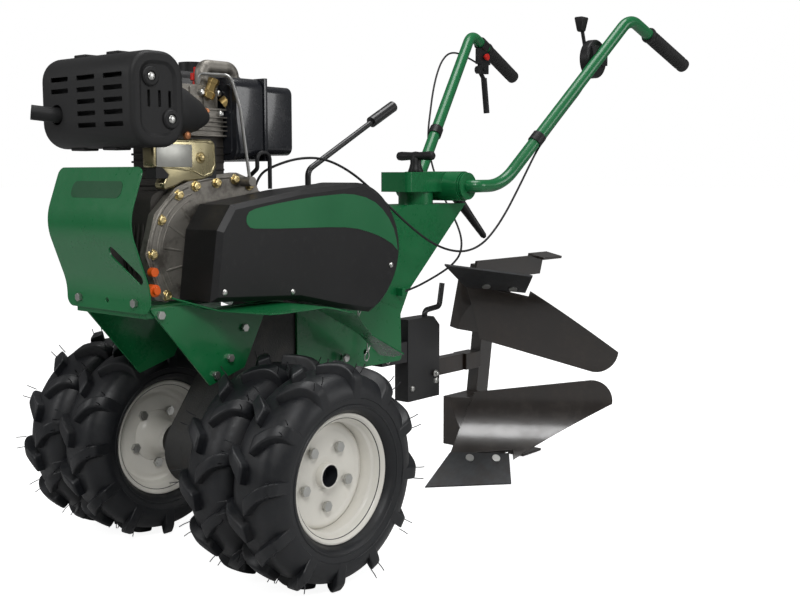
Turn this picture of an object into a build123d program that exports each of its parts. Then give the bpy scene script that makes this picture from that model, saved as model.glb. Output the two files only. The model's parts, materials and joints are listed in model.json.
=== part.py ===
from build123d import *
from math import acos, atan2, cos, hypot, pi, radians, sin, tan
import os

# Walk-behind diesel tiller with twin wheels and a turnover plough.
# Every part is drawn in machine coordinates, in millimetres: x forward to the engine, y to the machine's
# left, z up, measured from the point on the floor under the middle of the axle.
# The writer then moves it all forward by AXLE_X, which puts the origin under the middle of the machine.

# ---- driving dimensions -------------------------------------------------------------------------
AXLE_X = 555.0            # from the middle of the machine's length forward to the axle
AXLE_Z = 203.0            # axle height, the radius over the tyre lugs
TYRE_R = 203.0
TYRE_W = 112.0
BEAD_R = 105.4            # inside of the tyre
RIM_R = 105.0             # rim well
FLANGE_R = 115.0
RIM_W = 75.0
SHEET = 3.0               # rim and cover sheet
WHEEL_INNER_Y = 183.5
WHEEL_OUTER_Y = 301.5
SHAFT_R = 16.0
SHAFT_HALF = 245.0
HUB_BORE_R = 16.05
HUB_R = 23.0
HUB_END_Y = 312.0         # open end of the outer hub tube
BOLT_CIRCLE = 56.0
RUN = 0.05                # radial clearance of a running fit

GEAR_HALF = 50.0          # half width of the gearbox
INPUT_X, INPUT_Z = -262.0, 582.0
CRANK_X, CRANK_Z = 30.0, 611.0
CRANK_PULLEY_R = 48.0
DRIVEN_PULLEY_R = 104.0
BELT_Y = 88.0
BELT_W = 13.0
BELT_H = 9.0
TENSION_X, TENSION_Z = -56.0, 552.0

COVER_IN, COVER_OUT = 62.0, 152.0
BED_Z = 485.0
ENGINE_Z = 503.0

SHIFT_X, SHIFT_Y, SHIFT_Z = -236.0, 30.0, 660.0    # ball of the gear lever

HEAD_X = -618.0           # swivel of the steering head
CROSS_X, CROSS_Z = -690.0, 703.0
CROSS_R = 24.0
CROSS_HALF = 98.0
BAR_R = 14.5
GRIP_R = 18.0
CLUTCH_X, CLUTCH_Z = -1222.0, 1026.0
BUTTON_X, BUTTON_Z = -1224.0, 1060.0
CABLE_R = 2.5

HITCH_X = -662.0          # pitch pin of the beam socket
HITCH_Z = 262.0
BEAM_Z = 272.0            # turnover axis
LEAN = 6.0                # the plough stands leaning by this angle about its beam

SHARE_TIP = (-602.0, 42.0)
SHARE_ANGLE = 138.3       # direction of the cutting edge seen from above
SHARE_RAKE = 39.0         # slope of the share
BOARD_ANGLE = 127.0       # direction of the mouldboard's rulings seen from above
BOARD_R = 196.0
BOARD_S = -408.0          # where the mouldboard's axis runs, across its rulings
BOARD_Z = 195.0
PLATE = 4.5               # plough plate

os.makedirs("parts", exist_ok=True)


# ---- helpers ------------------------------------------------------------------------------------
def save(name, *solids):
    """Write one node, moved so that the origin is under the middle of the machine."""
    found = []
    for shape in solids:
        found += list(shape.solids())
    moved = [Pos(AXLE_X, 0, 0) * one for one in found]
    whole = moved[0] if len(moved) == 1 else Compound(children=moved)
    export_step(whole, f"parts/{name}.step")
    print(f"{name}: {len(moved)} solid(s), {sum(s.volume for s in moved):.0f} mm3")


def block(x0, x1, y0, y1, z0, z1):
    """An upright box from its limits."""
    centre = ((x0 + x1) / 2, (y0 + y1) / 2, (z0 + z1) / 2)
    return Pos(*centre) * Box(abs(x1 - x0), abs(y1 - y0), abs(z1 - z0))


def rod_y(x, z, radius, y0, y1):
    """A round bar along y."""
    return Pos(x, (y0 + y1) / 2, z) * Rot(90, 0, 0) * Cylinder(radius, abs(y1 - y0))


def rod_x(y, z, radius, x0, x1):
    """A round bar along x."""
    return Pos((x0 + x1) / 2, y, z) * Rot(0, 90, 0) * Cylinder(radius, abs(x1 - x0))


def rod_z(x, y, radius, z0, z1):
    """A round bar along z."""
    return Pos(x, y, (z0 + z1) / 2) * Cylinder(radius, abs(z1 - z0))


def ring_y(x, z, outer, inner, y0, y1):
    """A ring or tube along y."""
    low, high = min(y0, y1), max(y0, y1)
    return rod_y(x, z, outer, low, high) - rod_y(x, z, inner, low - 1, high + 1)


def side_plate(outline, y0, y1, round_by=0.0):
    """A plate whose outline is a closed list of (x, z), between two y planes."""
    points = [(x, 0, z) for x, z in outline]
    face = make_face(Polyline(*points, close=True))
    if round_by:
        face = fillet(face.vertices(), round_by)
    low, high = min(y0, y1), max(y0, y1)
    return Pos(0, low, 0) * extrude(face, amount=high - low, dir=(0, 1, 0))


def bent_tube(points, radii, radius):
    """A round bar along straight runs joined by tangent arcs."""
    path = FilletPolyline(*points, radius=radii)
    start = Plane(origin=path @ 0, z_dir=path % 0)
    return sweep(start * Circle(radius), path=path)


def hexagon_y(x, z, across, y0, y1):
    """A hexagon head or nut along y."""
    prism = extrude(RegularPolygon(across / 2 / cos(pi / 6), 6), amount=abs(y1 - y0))
    return Pos(x, min(y0, y1), z) * Rot(-90, 0, 0) * prism


def hexagon_x(y, z, across, x0, x1):
    """A hexagon head or nut along x."""
    prism = extrude(RegularPolygon(across / 2 / cos(pi / 6), 6), amount=abs(x1 - x0))
    return Pos(min(x0, x1), y, z) * Rot(0, 90, 0) * prism


def mirror_y(shape):
    """The same part on the machine's other side."""
    return mirror(shape, about=Plane.XZ)


# ---- wheels -------------------------------------------------------------------------------------
def tyre(centre):
    """A tyre over its lugs, with the bead seats that the rim flanges hold."""
    half, bead = TYRE_W / 2, RIM_W / 2 - SHEET - 0.5
    outline = Polyline(
        (BEAD_R, -bead), (FLANGE_R + 2, -bead), (FLANGE_R + 14, -half + 6), (TYRE_R - 36, -half),
        (TYRE_R, -half + 20), (TYRE_R, half - 20), (TYRE_R - 36, half), (FLANGE_R + 14, half - 6),
        (FLANGE_R + 2, bead), (BEAD_R, bead), close=True)
    ring = revolve(make_face(outline), axis=Axis.Y)
    hollow = Polyline(
        (BEAD_R - 1, -bead + 9), (FLANGE_R + 8, -bead + 9), (TYRE_R - 42, -half + 11),
        (TYRE_R - 26, -half + 24), (TYRE_R - 26, half - 24), (TYRE_R - 42, half - 11),
        (FLANGE_R + 8, bead - 9), (BEAD_R - 1, bead - 9), close=True)
    ring -= revolve(make_face(hollow), axis=Axis.Y)
    return Pos(0, centre, AXLE_Z) * ring


def rim(centre, side, outer_wheel):
    """A pressed rim with a dished disc and its hub tube."""
    half = RIM_W / 2
    well = ring_y(0, 0, RIM_R, RIM_R - SHEET, -half, half)
    for end in (-half, half - SHEET):
        well += ring_y(0, 0, FLANGE_R, RIM_R - SHEET, end, end + SHEET)
    disc_y = -6.0 * side
    well += ring_y(0, 0, RIM_R - 1, HUB_BORE_R, disc_y, disc_y + 5 * side)
    if outer_wheel:
        hub_from, hub_to = 245.8, HUB_END_Y
    else:
        hub_from, hub_to = 120.0, 243.0
    hub = ring_y(0, 0, HUB_R, HUB_BORE_R, hub_from, hub_to)
    hub = Pos(0, -abs(centre), 0) * hub
    well += hub if side > 0 else mirror_y(hub)
    for hole in range(5):
        angle = radians(54 + 72 * hole)
        well -= rod_y(BOLT_CIRCLE * cos(angle), BOLT_CIRCLE * sin(angle), 5.3, -20, 20)
    return Pos(0, centre, AXLE_Z) * well


def wheel_bolt(centre, side, hole):
    """A hexagon bolt and its nut through the disc."""
    angle = radians(54 + 72 * hole)
    x, z = BOLT_CIRCLE * cos(angle), AXLE_Z + BOLT_CIRCLE * sin(angle)
    inner = centre - 6.0 * side
    outer = centre - 1.0 * side
    bolt = rod_y(x, z, 5.0, inner - 9 * side, outer + 1 * side)
    bolt += hexagon_y(x, z, 17, outer + 0.1 * side, outer + 7 * side)
    bolt += hexagon_y(x, z, 17, inner - 0.1 * side, inner - 8 * side)
    return bolt


def make_wheels():
    tyres, rims, bolts = [], [], []
    for side in (1, -1):
        for distance in (WHEEL_INNER_Y, WHEEL_OUTER_Y):
            centre = side * distance
            tyres.append(tyre(centre))
            rims.append(rim(centre, side, distance == WHEEL_OUTER_Y))
            bolts += [wheel_bolt(centre, side, hole) for hole in range(5)]
    save("tyres", *tyres)
    save("rims", *rims)
    save("wheel_bolts", *bolts)
    shaft = rod_y(0, AXLE_Z, SHAFT_R, -SHAFT_HALF, SHAFT_HALF)
    gear = ring_y(0, AXLE_Z, 58, SHAFT_R - 1, -12, 12)
    save("axle_shaft", shaft + gear)


# ---- gearbox ------------------------------------------------------------------------------------
def case_outline(low_r, high_r):
    """Side view of the chain case: a round end at the axle, one at the input shaft, and tangent sides."""
    return round_pair(0, AXLE_Z, low_r, INPUT_X, INPUT_Z, high_r)


def round_pair(x0, z0, r0, x1, z1, r1):
    """Two circles and the tangents round both, as a face drawn in (x, z)."""
    span = hypot(x1 - x0, z1 - z0)
    along = atan2(z1 - z0, x1 - x0)
    turn = acos((r0 - r1) / span)
    face = Pos(x0, z0) * Circle(r0) + Pos(x1, z1) * Circle(r1)
    corners = []
    for x, z, radius, sign in ((x0, z0, r0, 1), (x1, z1, r1, 1), (x1, z1, r1, -1), (x0, z0, r0, -1)):
        angle = along + sign * turn
        corners.append((x + radius * cos(angle), z + radius * sin(angle)))
    return face + make_face(Polyline(*corners, close=True))


def prism_xz(sketch, y0, y1):
    """A sketch drawn in (x, z), between two y planes."""
    low, high = min(y0, y1), max(y0, y1)
    return Pos(0, high, 0) * Rot(90, 0, 0) * extrude(sketch, amount=high - low)


def make_gearbox():
    outer = prism_xz(case_outline(78, 68), 0, GEAR_HALF)
    inner = prism_xz(case_outline(70, 60), -1, GEAR_HALF - 8)
    left = outer - inner
    left -= rod_y(0, AXLE_Z, SHAFT_R + RUN, -1, GEAR_HALF + 1)
    neck = ring_y(0, AXLE_Z, 34, SHAFT_R + RUN, GEAR_HALF, 112)
    left += neck
    right = mirror_y(left)
    left -= rod_y(INPUT_X, INPUT_Z, 12 + RUN, -1, GEAR_HALF + 1)
    left += rod_z(SHIFT_X, SHIFT_Y, 15, 640, SHIFT_Z + 8) & block(-300, -200, 0.2, 60, 600, 700)
    left -= rod_z(SHIFT_X, SHIFT_Y, 9 + RUN, SHIFT_Z - 10, SHIFT_Z + 9)
    save("gearbox", left, right)


# ---- belt drive ---------------------------------------------------------------------------------
def pulley(x, z, radius, bore):
    """A one-groove pulley whose groove leaves room for the belt."""
    half = BELT_W / 2 + 4
    groove = Polyline(
        (radius + 1, -BELT_W / 2 - 0.6), (radius - BELT_H - 1.4, -BELT_W / 2 + 2.2),
        (radius - BELT_H - 1.4, BELT_W / 2 - 2.2), (radius + 1, BELT_W / 2 + 0.6), close=True)
    body = ring_y(0, 0, radius, bore, -half, half)
    body -= revolve(make_face(groove), axis=Axis.Y)
    return Pos(x, BELT_Y, z) * body


def belt_wire(crank_r, driven_r):
    """The belt's line: tangents to both pulleys and the arcs between them."""
    return round_pair(CRANK_X, CRANK_Z, crank_r, INPUT_X, INPUT_Z, driven_r)


def make_belt_drive():
    shaft = rod_y(CRANK_X, CRANK_Z, 12.5, 58, BELT_Y + 12)
    save("crank_pulley", pulley(CRANK_X, CRANK_Z, CRANK_PULLEY_R, 12) + shaft)
    shaft = rod_y(INPUT_X, INPUT_Z, 12, 10, BELT_Y + 12)
    save("driven_pulley", pulley(INPUT_X, INPUT_Z, DRIVEN_PULLEY_R, 11.5) + shaft)
    outside = prism_xz(belt_wire(CRANK_PULLEY_R, DRIVEN_PULLEY_R), BELT_Y - 4.5, BELT_Y + 4.5)
    inside_line = belt_wire(CRANK_PULLEY_R - BELT_H, DRIVEN_PULLEY_R - BELT_H)
    inside = prism_xz(inside_line, BELT_Y - 6, BELT_Y + 6)
    save("v_belt", outside - inside)
    # tensioner: an arm on a pin of the backing plate, with its idler inside the slack side of the belt
    arm = side_plate([(-125, 544), (-46, 542), (-46, 562), (-125, 560)], 70, 75, 4)
    arm -= rod_y(TENSION_X, TENSION_Z, 6 + RUN, 60, 80)
    arm += rod_y(TENSION_X - 60, TENSION_Z, 6, 74, 98)
    idler = ring_y(TENSION_X - 60, TENSION_Z, 14, 6 + RUN, 80, 96)
    save("belt_tensioner", arm, idler)


def cover_outline(shrink):
    """Side view of the belt cover, pulled in by shrink."""
    line = Polyline(
        (-292, 0, 453), (-200, 0, 470), (-90, 0, 495), (122, 0, 508), (104, 0, 632), (72, 0, 676),
        (-94, 0, 700), (-225, 0, 711))
    rear = ThreePointArc((-225, 0, 711), (-352, 0, 668), (-386, 0, 578))
    under = ThreePointArc((-386, 0, 578), (-362, 0, 506), (-292, 0, 453))
    face = make_face(line.edges() + [rear.edge(), under.edge()])
    if shrink:
        face = offset(face, amount=-shrink, kind=Kind.INTERSECTION)
    return face


def cover_slab(shrink, y0, y1):
    """The cover's outline as a slab between two y planes."""
    return Pos(0, y0, 0) * extrude(cover_outline(shrink), amount=y1 - y0, dir=(0, 1, 0))


def make_belt_cover():
    outer = cover_slab(0, COVER_IN, COVER_OUT)
    rim_edges = outer.faces().sort_by(Axis.Y)[-1].edges()
    outer = chamfer(rim_edges, 9)
    outer -= cover_slab(4, COVER_IN - 1, COVER_OUT - 14)
    save("belt_cover", outer)
    back = cover_slab(1, COVER_IN - 3.2, COVER_IN - 0.2)
    back -= rod_y(CRANK_X, CRANK_Z, 20, 50, 70)
    back -= rod_y(INPUT_X, INPUT_Z, 20, 50, 70)
    back += rod_y(TENSION_X, TENSION_Z, 6, COVER_IN - 0.3, 78)
    save("belt_cover_back", back)


# ---- chassis ------------------------------------------------------------------------------------
def make_chassis():
    bed = block(-95, 226, -100, 100, BED_Z, ENGINE_Z)
    bed -= block(-60, 190, -70, 70, BED_Z - 1, ENGINE_Z + 1)
    bed -= block(-91, 222, -96, 96, BED_Z - 1, ENGINE_Z - 5)
    bed += block(-95, -60, -100, 100, BED_Z, ENGINE_Z)
    bed -= block(-100, 60, COVER_IN - 3.6, 101, BED_Z + 8, ENGINE_Z + 1)
    save("engine_frame", bed)

    profile = [(238, 741), (272, 647), (231, 535), (231, 494)]
    path = FilletPolyline(*[(x, 0, z) for x, z in profile], radius=[90, 110])
    guard = sweep(Plane(origin=path @ 0, z_dir=path % 0, x_dir=(0, 1, 0)) * Rectangle(240, SHEET), path=path)
    through = [e for e in guard.edges() if abs(e.length - SHEET) < 0.01]
    guard = fillet([e for e in through if e.center().Z < 496], 18)
    through = [e for e in guard.edges() if abs(e.length - SHEET) < 0.01]
    guard = fillet([e for e in through if e.center().Z > 736], 14)
    for y in (-80.6, 80.6):
        guard -= rod_x(y, 511.5, 4.5, 200, 260)
    guard -= rod_x(0, 511.5, 4.5, 200, 260)
    slot = Plane.YZ * Pos(77, 576) * Rot(0, 0, -41) * SlotOverall(85, 20)
    guard -= Pos(200, 0, 0) * extrude(slot, amount=80)
    save("front_guard", guard)

    plates = []
    for side in (1, -1):
        low, high = (100.2, 104.2) if side > 0 else (-104.2, -100.2)
        outline = [(222, 502), (-60, 502), (10, 375), (92, 352)]
        if side > 0:
            outline[1:2] = [(90, 502), (60, 492), (-54, 492)]
        plates.append(side_plate(outline, low, high, 3))
        low, high = (GEAR_HALF + 1.0, GEAR_HALF + 6.0) if side > 0 else (-GEAR_HALF - 6.0, -GEAR_HALF - 1.0)
        plate = side_plate(
            [(-175, 470), (-385, 470), (-497, 430), (-500, 318), (-360, 318), (-175, 352)], low, high, 8)
        for x, z in ((-300, 440), (-300, 350), (-380, 350), (-430, 350)):
            plate -= rod_y(x, z, 7, low - 1, high + 1)
        plates.append(plate)
    save("side_plates", *plates)


def make_fenders():
    points = [(178, 518), (96, 490), (-70, 490), (-190, 462), (-300, 405), (-368, 352)]
    path = FilletPolyline(*[(x, 0, z) for x, z in points], radius=[60, 160, 90, 90])
    sheet = sweep(Plane(origin=path @ 0, z_dir=path % 0, x_dir=(0, 1, 0)) * Rectangle(260, 2.5), path=path)
    plan = make_face(Polyline(
        (190, 108), (165, 116), (96, 137), (72, 241), (48, 247), (-70, 242), (-150, 228), (-240, 175),
        (-300, 146), (-354, 185), (-376, 118), (-376, 108), close=True))
    left = (Pos(0, 230, 0) * sheet) & (Pos(0, 0, 300) * extrude(plan, amount=300))
    save("fenders", left, mirror_y(left))


def make_column():
    outline = [(-340, 470), (-352, 600), (-500, 650), (-545, 662), (-752, 662), (-540, 470)]
    half = 44.0
    column = side_plate(outline, -half, half)
    hollow = side_plate(
        [(-344, 450), (-356, 597), (-502, 646), (-546, 658), (-742, 658), (-537, 474), (-536, 450)],
        -half + 4, half - 4)
    column -= hollow
    column += rod_z(HEAD_X, 0, 40, 660, 690)
    for side in (1, -1):
        low, high = (half - 4, half) if side > 0 else (-half, -half + 4)
        foot = side_plate([(-340, 471), (-372, 345), (-470, 345), (-540, 471)], low, high)
        column += foot
    column += rod_z(HEAD_X, 0, 14, 689, 697)
    column += block(-506, -496, 42, 62, 462, 479)
    save("column", column)


# ---- engine -------------------------------------------------------------------------------------
def make_engine():
    case = block(-105, 165, -105, 40, ENGINE_Z + 0.2, 700)
    case = fillet(case.edges().filter_by(Axis.Y), 22)
    barrel = block(-13, 108, -82, 30, 698, 800)
    block_body = case + barrel
    block_body -= rod_y(CRANK_X, CRANK_Z, 20, -106, 45)
    save("crankcase", block_body)

    outline = [(160, 506), (191, 590), (170, 660), (122, 706), (75, 723), (-20, 733), (-66, 718),
               (-108, 640), (-112, 540), (-100, 506)]
    cover = side_plate(outline, 40.2, 56, 12)
    cover -= rod_y(CRANK_X, CRANK_Z, 20, 30, 70)
    cover -= block(28, 168, 28, 60, 721.6, 790)
    cover += rod_y(-36, 716, 9, 54, 84)
    save("crankcase_cover", cover)

    save("cylinder_head", fillet(block(-13, 118, -82, 38, 800.3, 848).edges().filter_by(Axis.Z), 12))
    rocker = fillet(block(-13, 92, -70, 24, 848.3, 892).edges().filter_by(Axis.Z), 12)
    rocker -= rod_z(0, -30, 6 + RUN, 879, 893)
    save("rocker_cover", rocker)
    cap = rod_z(0, -30, 6, 880, 905) + rod_z(0, -30, 10, 905, 918)
    cap += block(-28, 0, -36, -24, 916, 930)
    save("decompression_lever", cap)

    duct = block(30, 166, 31, 58, 722, 787) - block(33, 163, 25, 55, 700, 784)
    drum = rod_y(CRANK_X, CRANK_Z, 128, -176, -106) - rod_y(CRANK_X, CRANK_Z, 125, -173, -100)
    drum -= rod_y(CRANK_X, CRANK_Z, 60, -180, -170)
    drum -= block(-200, 260, -180, -100, 400, ENGINE_Z + 1)
    save("blower_housing", duct, drum)

    starter = rod_y(CRANK_X, CRANK_Z, 92, -212, -176.3) - rod_y(CRANK_X, CRANK_Z, 88, -208, -176)
    guide = rod_x(-194, CRANK_Z + 60, 9, -85, -40)
    starter += guide
    starter -= rod_x(-194, CRANK_Z + 60, 4, -100, 0)
    save("recoil_starter", starter)
    grip = rod_x(-194, CRANK_Z + 60, 3, -86, -60)
    grip += fillet(block(-104, -86, -228, -178.6, CRANK_Z + 50, CRANK_Z + 70).edges().filter_by(Axis.Y), 5)
    save("recoil_grip", grip)

    muffler = fillet(block(166, 244, -128, 104, 792, 914).edges().filter_by(Axis.Y), 26)
    pipe = bent_tube([(236, -92, 832), (268, -92, 832), (298, -112, 836)], [14], 13)
    stub = rod_x(-20, 824, 16, 118.5, 168)
    save("muffler", muffler + pipe + stub)
    shield = fillet(block(150, 260, -140, 121, 774, 933).edges().filter_by(Axis.Y), 44)
    hollow = fillet(block(138, 257, -137, 118, 777, 930).edges().filter_by(Axis.Y), 41)
    shield -= hollow
    shield -= block(130, 153, -150, 130, 760, 940)
    shield -= rod_x(-92, 832, 17, 240, 300)
    for column_y, rows in ((-82, 2), (-5, 5), (71, 5)):
        for row in range(rows):
            shield -= Pos(258, column_y, 892 - 20 * row) * Box(20, 53, 8)
    for slot_x in (179, 200, 222):
        shield -= Pos(slot_x, 120, 854) * Box(5, 20, 28)
    save("muffler_shield", shield)

    base = fillet(block(-80, -14, -58, 60, 760, 903).edges().filter_by(Axis.X), 14)
    base += fillet(block(-83, -79, -63, 65, 755, 908).edges().filter_by(Axis.X), 16)
    base -= fillet(block(-90, -18, -54, 56, 764, 899).edges().filter_by(Axis.X), 10)
    save("air_cleaner_base", base)
    cover = fillet(block(-166, -87, -58, 60, 762, 901).edges().filter_by(Axis.X), 12)
    cover += fillet(block(-87.2, -83.2, -63, 65, 755, 908).edges().filter_by(Axis.X), 16)
    cover -= fillet(block(-162, -80, -54, 56, 766, 897).edges().filter_by(Axis.X), 8)
    save("air_cleaner_cover", cover)
    elbow = bent_tube([(14, 4, 892.4), (14, 4, 928), (-62, 2, 928), (-62, 2, 903.4)], [15, 15], 13)
    save("intake_elbow", elbow)

    tank = fillet(block(-185, 60, -205, -92, 796, 930).edges(), 18)
    tank -= fillet(block(-182, 57, -202, -95, 799, 927).edges(), 16)
    tank -= rod_z(-90, -150, 20, 920, 940)
    save("fuel_tank", tank)
    cap = rod_z(-90, -150, 19.5, 922, 932) + rod_z(-90, -150, 26, 930.2, 952)
    save("fuel_cap", cap)

    pipe = bent_tube([(34, 20, 893), (34, 22, 912), (4, 72, 908), (-16, 75, 850), (-36, 75, 725.3)],
                     [8, 14, 60], 3)
    save("injector_pipe", pipe)
    hose = bent_tube([(-60, 48, 725), (-60, 71, 740), (-60, 71, 770), (-92, 71, 770), (-92, 71, 702)],
                     [9, 14, 14], 4)
    save("return_hose", hose)
    plugs = [rod_y(182, 528, 11, 56.2, 70) + rod_y(182, 528, 7, 70, 76),
             rod_y(180, 560, 8, 56.2, 68)]
    save("oil_plugs", *plugs)


# ---- steering head and handlebar ------------------------------------------------------------------
BAR_STUB = (CROSS_X, 62.0, CROSS_Z)
BAR_OUT = (CROSS_X, 118.0, CROSS_Z)
BAR_CORNER = (-778.0, 129.0, 704.0)
BAR_TOP = (-1162.0, 245.0, 1118.0)
BAR_END = (-1406.0, 272.0, 1019.0)


def along(start, end, distance_from_end):
    """A point on the line from start to end, back from its end."""
    a, b = Vector(*start), Vector(*end)
    return b - (b - a).normalized() * distance_from_end


def tube_on(start, end, outer, inner):
    """A tube between two points."""
    a, b = Vector(*start), Vector(*end)
    plane = Plane(origin=a, z_dir=b - a)
    return extrude(plane * (Circle(outer) - Circle(inner)), amount=(b - a).length)


def solid_on(start, end, radius):
    """A round bar between two points."""
    a, b = Vector(*start), Vector(*end)
    return extrude(Plane(origin=a, z_dir=b - a) * Circle(radius), amount=(b - a).length)


def make_head():
    head = fillet(block(-690, -540, -44, 44, 690.4, 735).edges().filter_by(Axis.Z), 12)
    head += rod_y(CROSS_X, CROSS_Z, 34, -86, 86)
    head += block(-768, -710, 28, 40, 678, 702)
    head -= rod_y(CROSS_X, CROSS_Z, CROSS_R + RUN, -90, 90)
    head -= rod_z(HEAD_X, 0, 14 + RUN, 690, 698)
    head -= rod_z(HEAD_X, 0, 8 + RUN, 704, 740)
    head -= rod_y(-758, 688, 4 + RUN, 20, 50)
    save("steering_head", head)
    lever = rod_y(-758, 688, 9, 40.3, 54) + rod_y(-758, 688, 4, 24, 42)
    lever += solid_on((-758, 48, 688), (-788, 48, 640), 5)
    lever += solid_on((-786, 48, 644), (-828, 48, 576), 8)
    save("clamp_lever", lever)
    knob = rod_z(HEAD_X, 0, 18, 735.4, 770) + rod_z(HEAD_X, 0, 8, 706, 737)
    knob += rod_y(HEAD_X, 772, 10, -54, 54)
    save("height_knob", knob)


def make_handlebar():
    cross = rod_y(CROSS_X, CROSS_Z, CROSS_R, -CROSS_HALF, CROSS_HALF)
    for y0, y1 in ((87, 91), (93.5, 98)):
        cross += rod_y(CROSS_X, CROSS_Z, 31, y0, y1) + rod_y(CROSS_X, CROSS_Z, 31, -y1, -y0)
    cross -= rod_y(CROSS_X, CROSS_Z, BAR_R + 0.1, -CROSS_HALF - 1, CROSS_HALF + 1)
    save("cross_tube", cross)
    bar = bent_tube([BAR_STUB, BAR_OUT, BAR_CORNER, BAR_TOP, BAR_END], [20, 110, 48], BAR_R)
    save("left_bar", bar)
    save("right_bar", mirror_y(bar))
    grip = tube_on(along(BAR_TOP, BAR_END, 176), along(BAR_TOP, BAR_END, -1), GRIP_R, BAR_R + 0.1)
    grip += solid_on(along(BAR_TOP, BAR_END, -1), along(BAR_TOP, BAR_END, -6), GRIP_R)
    save("grips", grip, mirror_y(grip))

    housing_x, housing_z, lever_y = -1085.0, 1015.0, 201.0
    housing = fillet(rod_y(housing_x, housing_z, 47, lever_y - 26, lever_y).edges(), 6)
    saddle = block(housing_x - 28, housing_x + 30, lever_y - 2, lever_y + 12, housing_z - 16, housing_z + 30)
    bar_line = solid_on(BAR_CORNER, BAR_TOP, BAR_R + 0.1)
    housing = housing + saddle - bar_line
    housing -= rod_y(housing_x, housing_z, 7 + RUN, lever_y - 27, lever_y - 10)
    save("throttle_housing", housing)
    lever = rod_y(housing_x, housing_z, 7, lever_y - 34, lever_y - 10.4)
    lever += rod_y(housing_x, housing_z, 12, lever_y - 34, lever_y - 26.4)
    lever += solid_on((housing_x, lever_y - 31, housing_z), (-1062, lever_y - 31, 1080), 5)
    lever += solid_on((-1063, lever_y - 31, 1076), (-1054, lever_y - 31, 1102), 12)
    save("throttle_lever", lever)

    mount = along(BAR_TOP, BAR_END, 212)
    end = along(BAR_TOP, BAR_END, 186)
    bracket = tube_on(tuple(mount), tuple(end), BAR_R + 4, BAR_R + 0.1)
    bracket += block(-1252, -1196, 243, 255, 1040, 1082)
    bracket += block(-1244, -1206, 243, 255, 1014, 1042)
    bracket -= solid_on(BAR_TOP, BAR_END, BAR_R + 0.1)
    bracket -= solid_on(along(BAR_TOP, BAR_END, 178), BAR_END, GRIP_R + 0.6)
    bracket = bracket.solids().sort_by(SortBy.VOLUME)[-1]
    bracket -= rod_y(BUTTON_X, BUTTON_Z, 5 + RUN, 240, 252)
    bracket -= rod_y(CLUTCH_X, CLUTCH_Z, 5 + RUN, 240, 258)
    save("clutch_bracket", mirror_y(bracket))
    button = rod_y(BUTTON_X, BUTTON_Z, 5, -248.5, -238) + rod_y(BUTTON_X, BUTTON_Z, 9, -238, -232)
    save("stop_button", button)
    lever = rod_y(CLUTCH_X, CLUTCH_Z, 5, -257, -240) + rod_y(CLUTCH_X, CLUTCH_Z, 11, -269, -255.3)
    lever += solid_on((CLUTCH_X, -262, CLUTCH_Z), (-1248, -262, 1000), 6)
    lever += solid_on((-1247, -262, 1004), (-1262, -262, 906), 8.5)
    save("clutch_lever", lever)

    clips = []
    for distance, side, route in ((424, 1, THROTTLE_ROUTE), (388, -1, CLUTCH_ROUTE)):
        low = along(BAR_CORNER, BAR_TOP, distance + 12)
        high = along(BAR_CORNER, BAR_TOP, distance - 12)
        clip = tube_on(low, high, BAR_R + 3, BAR_R + 0.1)
        clip = clip if side > 0 else mirror_y(clip)
        clips.append(clip - round_tube(cable_path(route)[0], CABLE_R + 0.5))
    save("cable_clips", *clips)


# ---- gear lever -----------------------------------------------------------------------------------
def make_shift_lever():
    rod = bent_tube([(SHIFT_X, 30, SHIFT_Z), (SHIFT_X, 30, 738), (-440, 30, 846)], [22], 6)
    rod += Pos(SHIFT_X, SHIFT_Y, SHIFT_Z) * Sphere(9)
    grip = solid_on((-430, 30, 841), (-502, 30, 878), 12)
    save("shift_lever", rod + grip)


# ---- hitch and plough -----------------------------------------------------------------------------
def share_plane():
    """The share's face: x along the cutting edge, y up its slope, z out of the soil side."""
    edge_dir = Vector(cos(radians(SHARE_ANGLE)), sin(radians(SHARE_ANGLE)), 0)
    back = Vector(-edge_dir.Y, edge_dir.X, 0)
    rise = back * cos(radians(SHARE_RAKE)) + Vector(0, 0, sin(radians(SHARE_RAKE)))
    return Plane(origin=(SHARE_TIP[0], SHARE_TIP[1], 0), x_dir=edge_dir, z_dir=edge_dir.cross(rise))


def board_cylinder(radius):
    """A long round bar about the mouldboard's axis."""
    angle = radians(BOARD_ANGLE)
    across = Vector(sin(angle), -cos(angle), 0)
    middle = across * BOARD_S + Vector(cos(angle), sin(angle), 0) * 900 + Vector(0, 0, BOARD_Z)
    direction = Vector(cos(angle), sin(angle), 0)
    return extrude(Plane(origin=middle - direction * 700, z_dir=direction) * Circle(radius), amount=1400)


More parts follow.
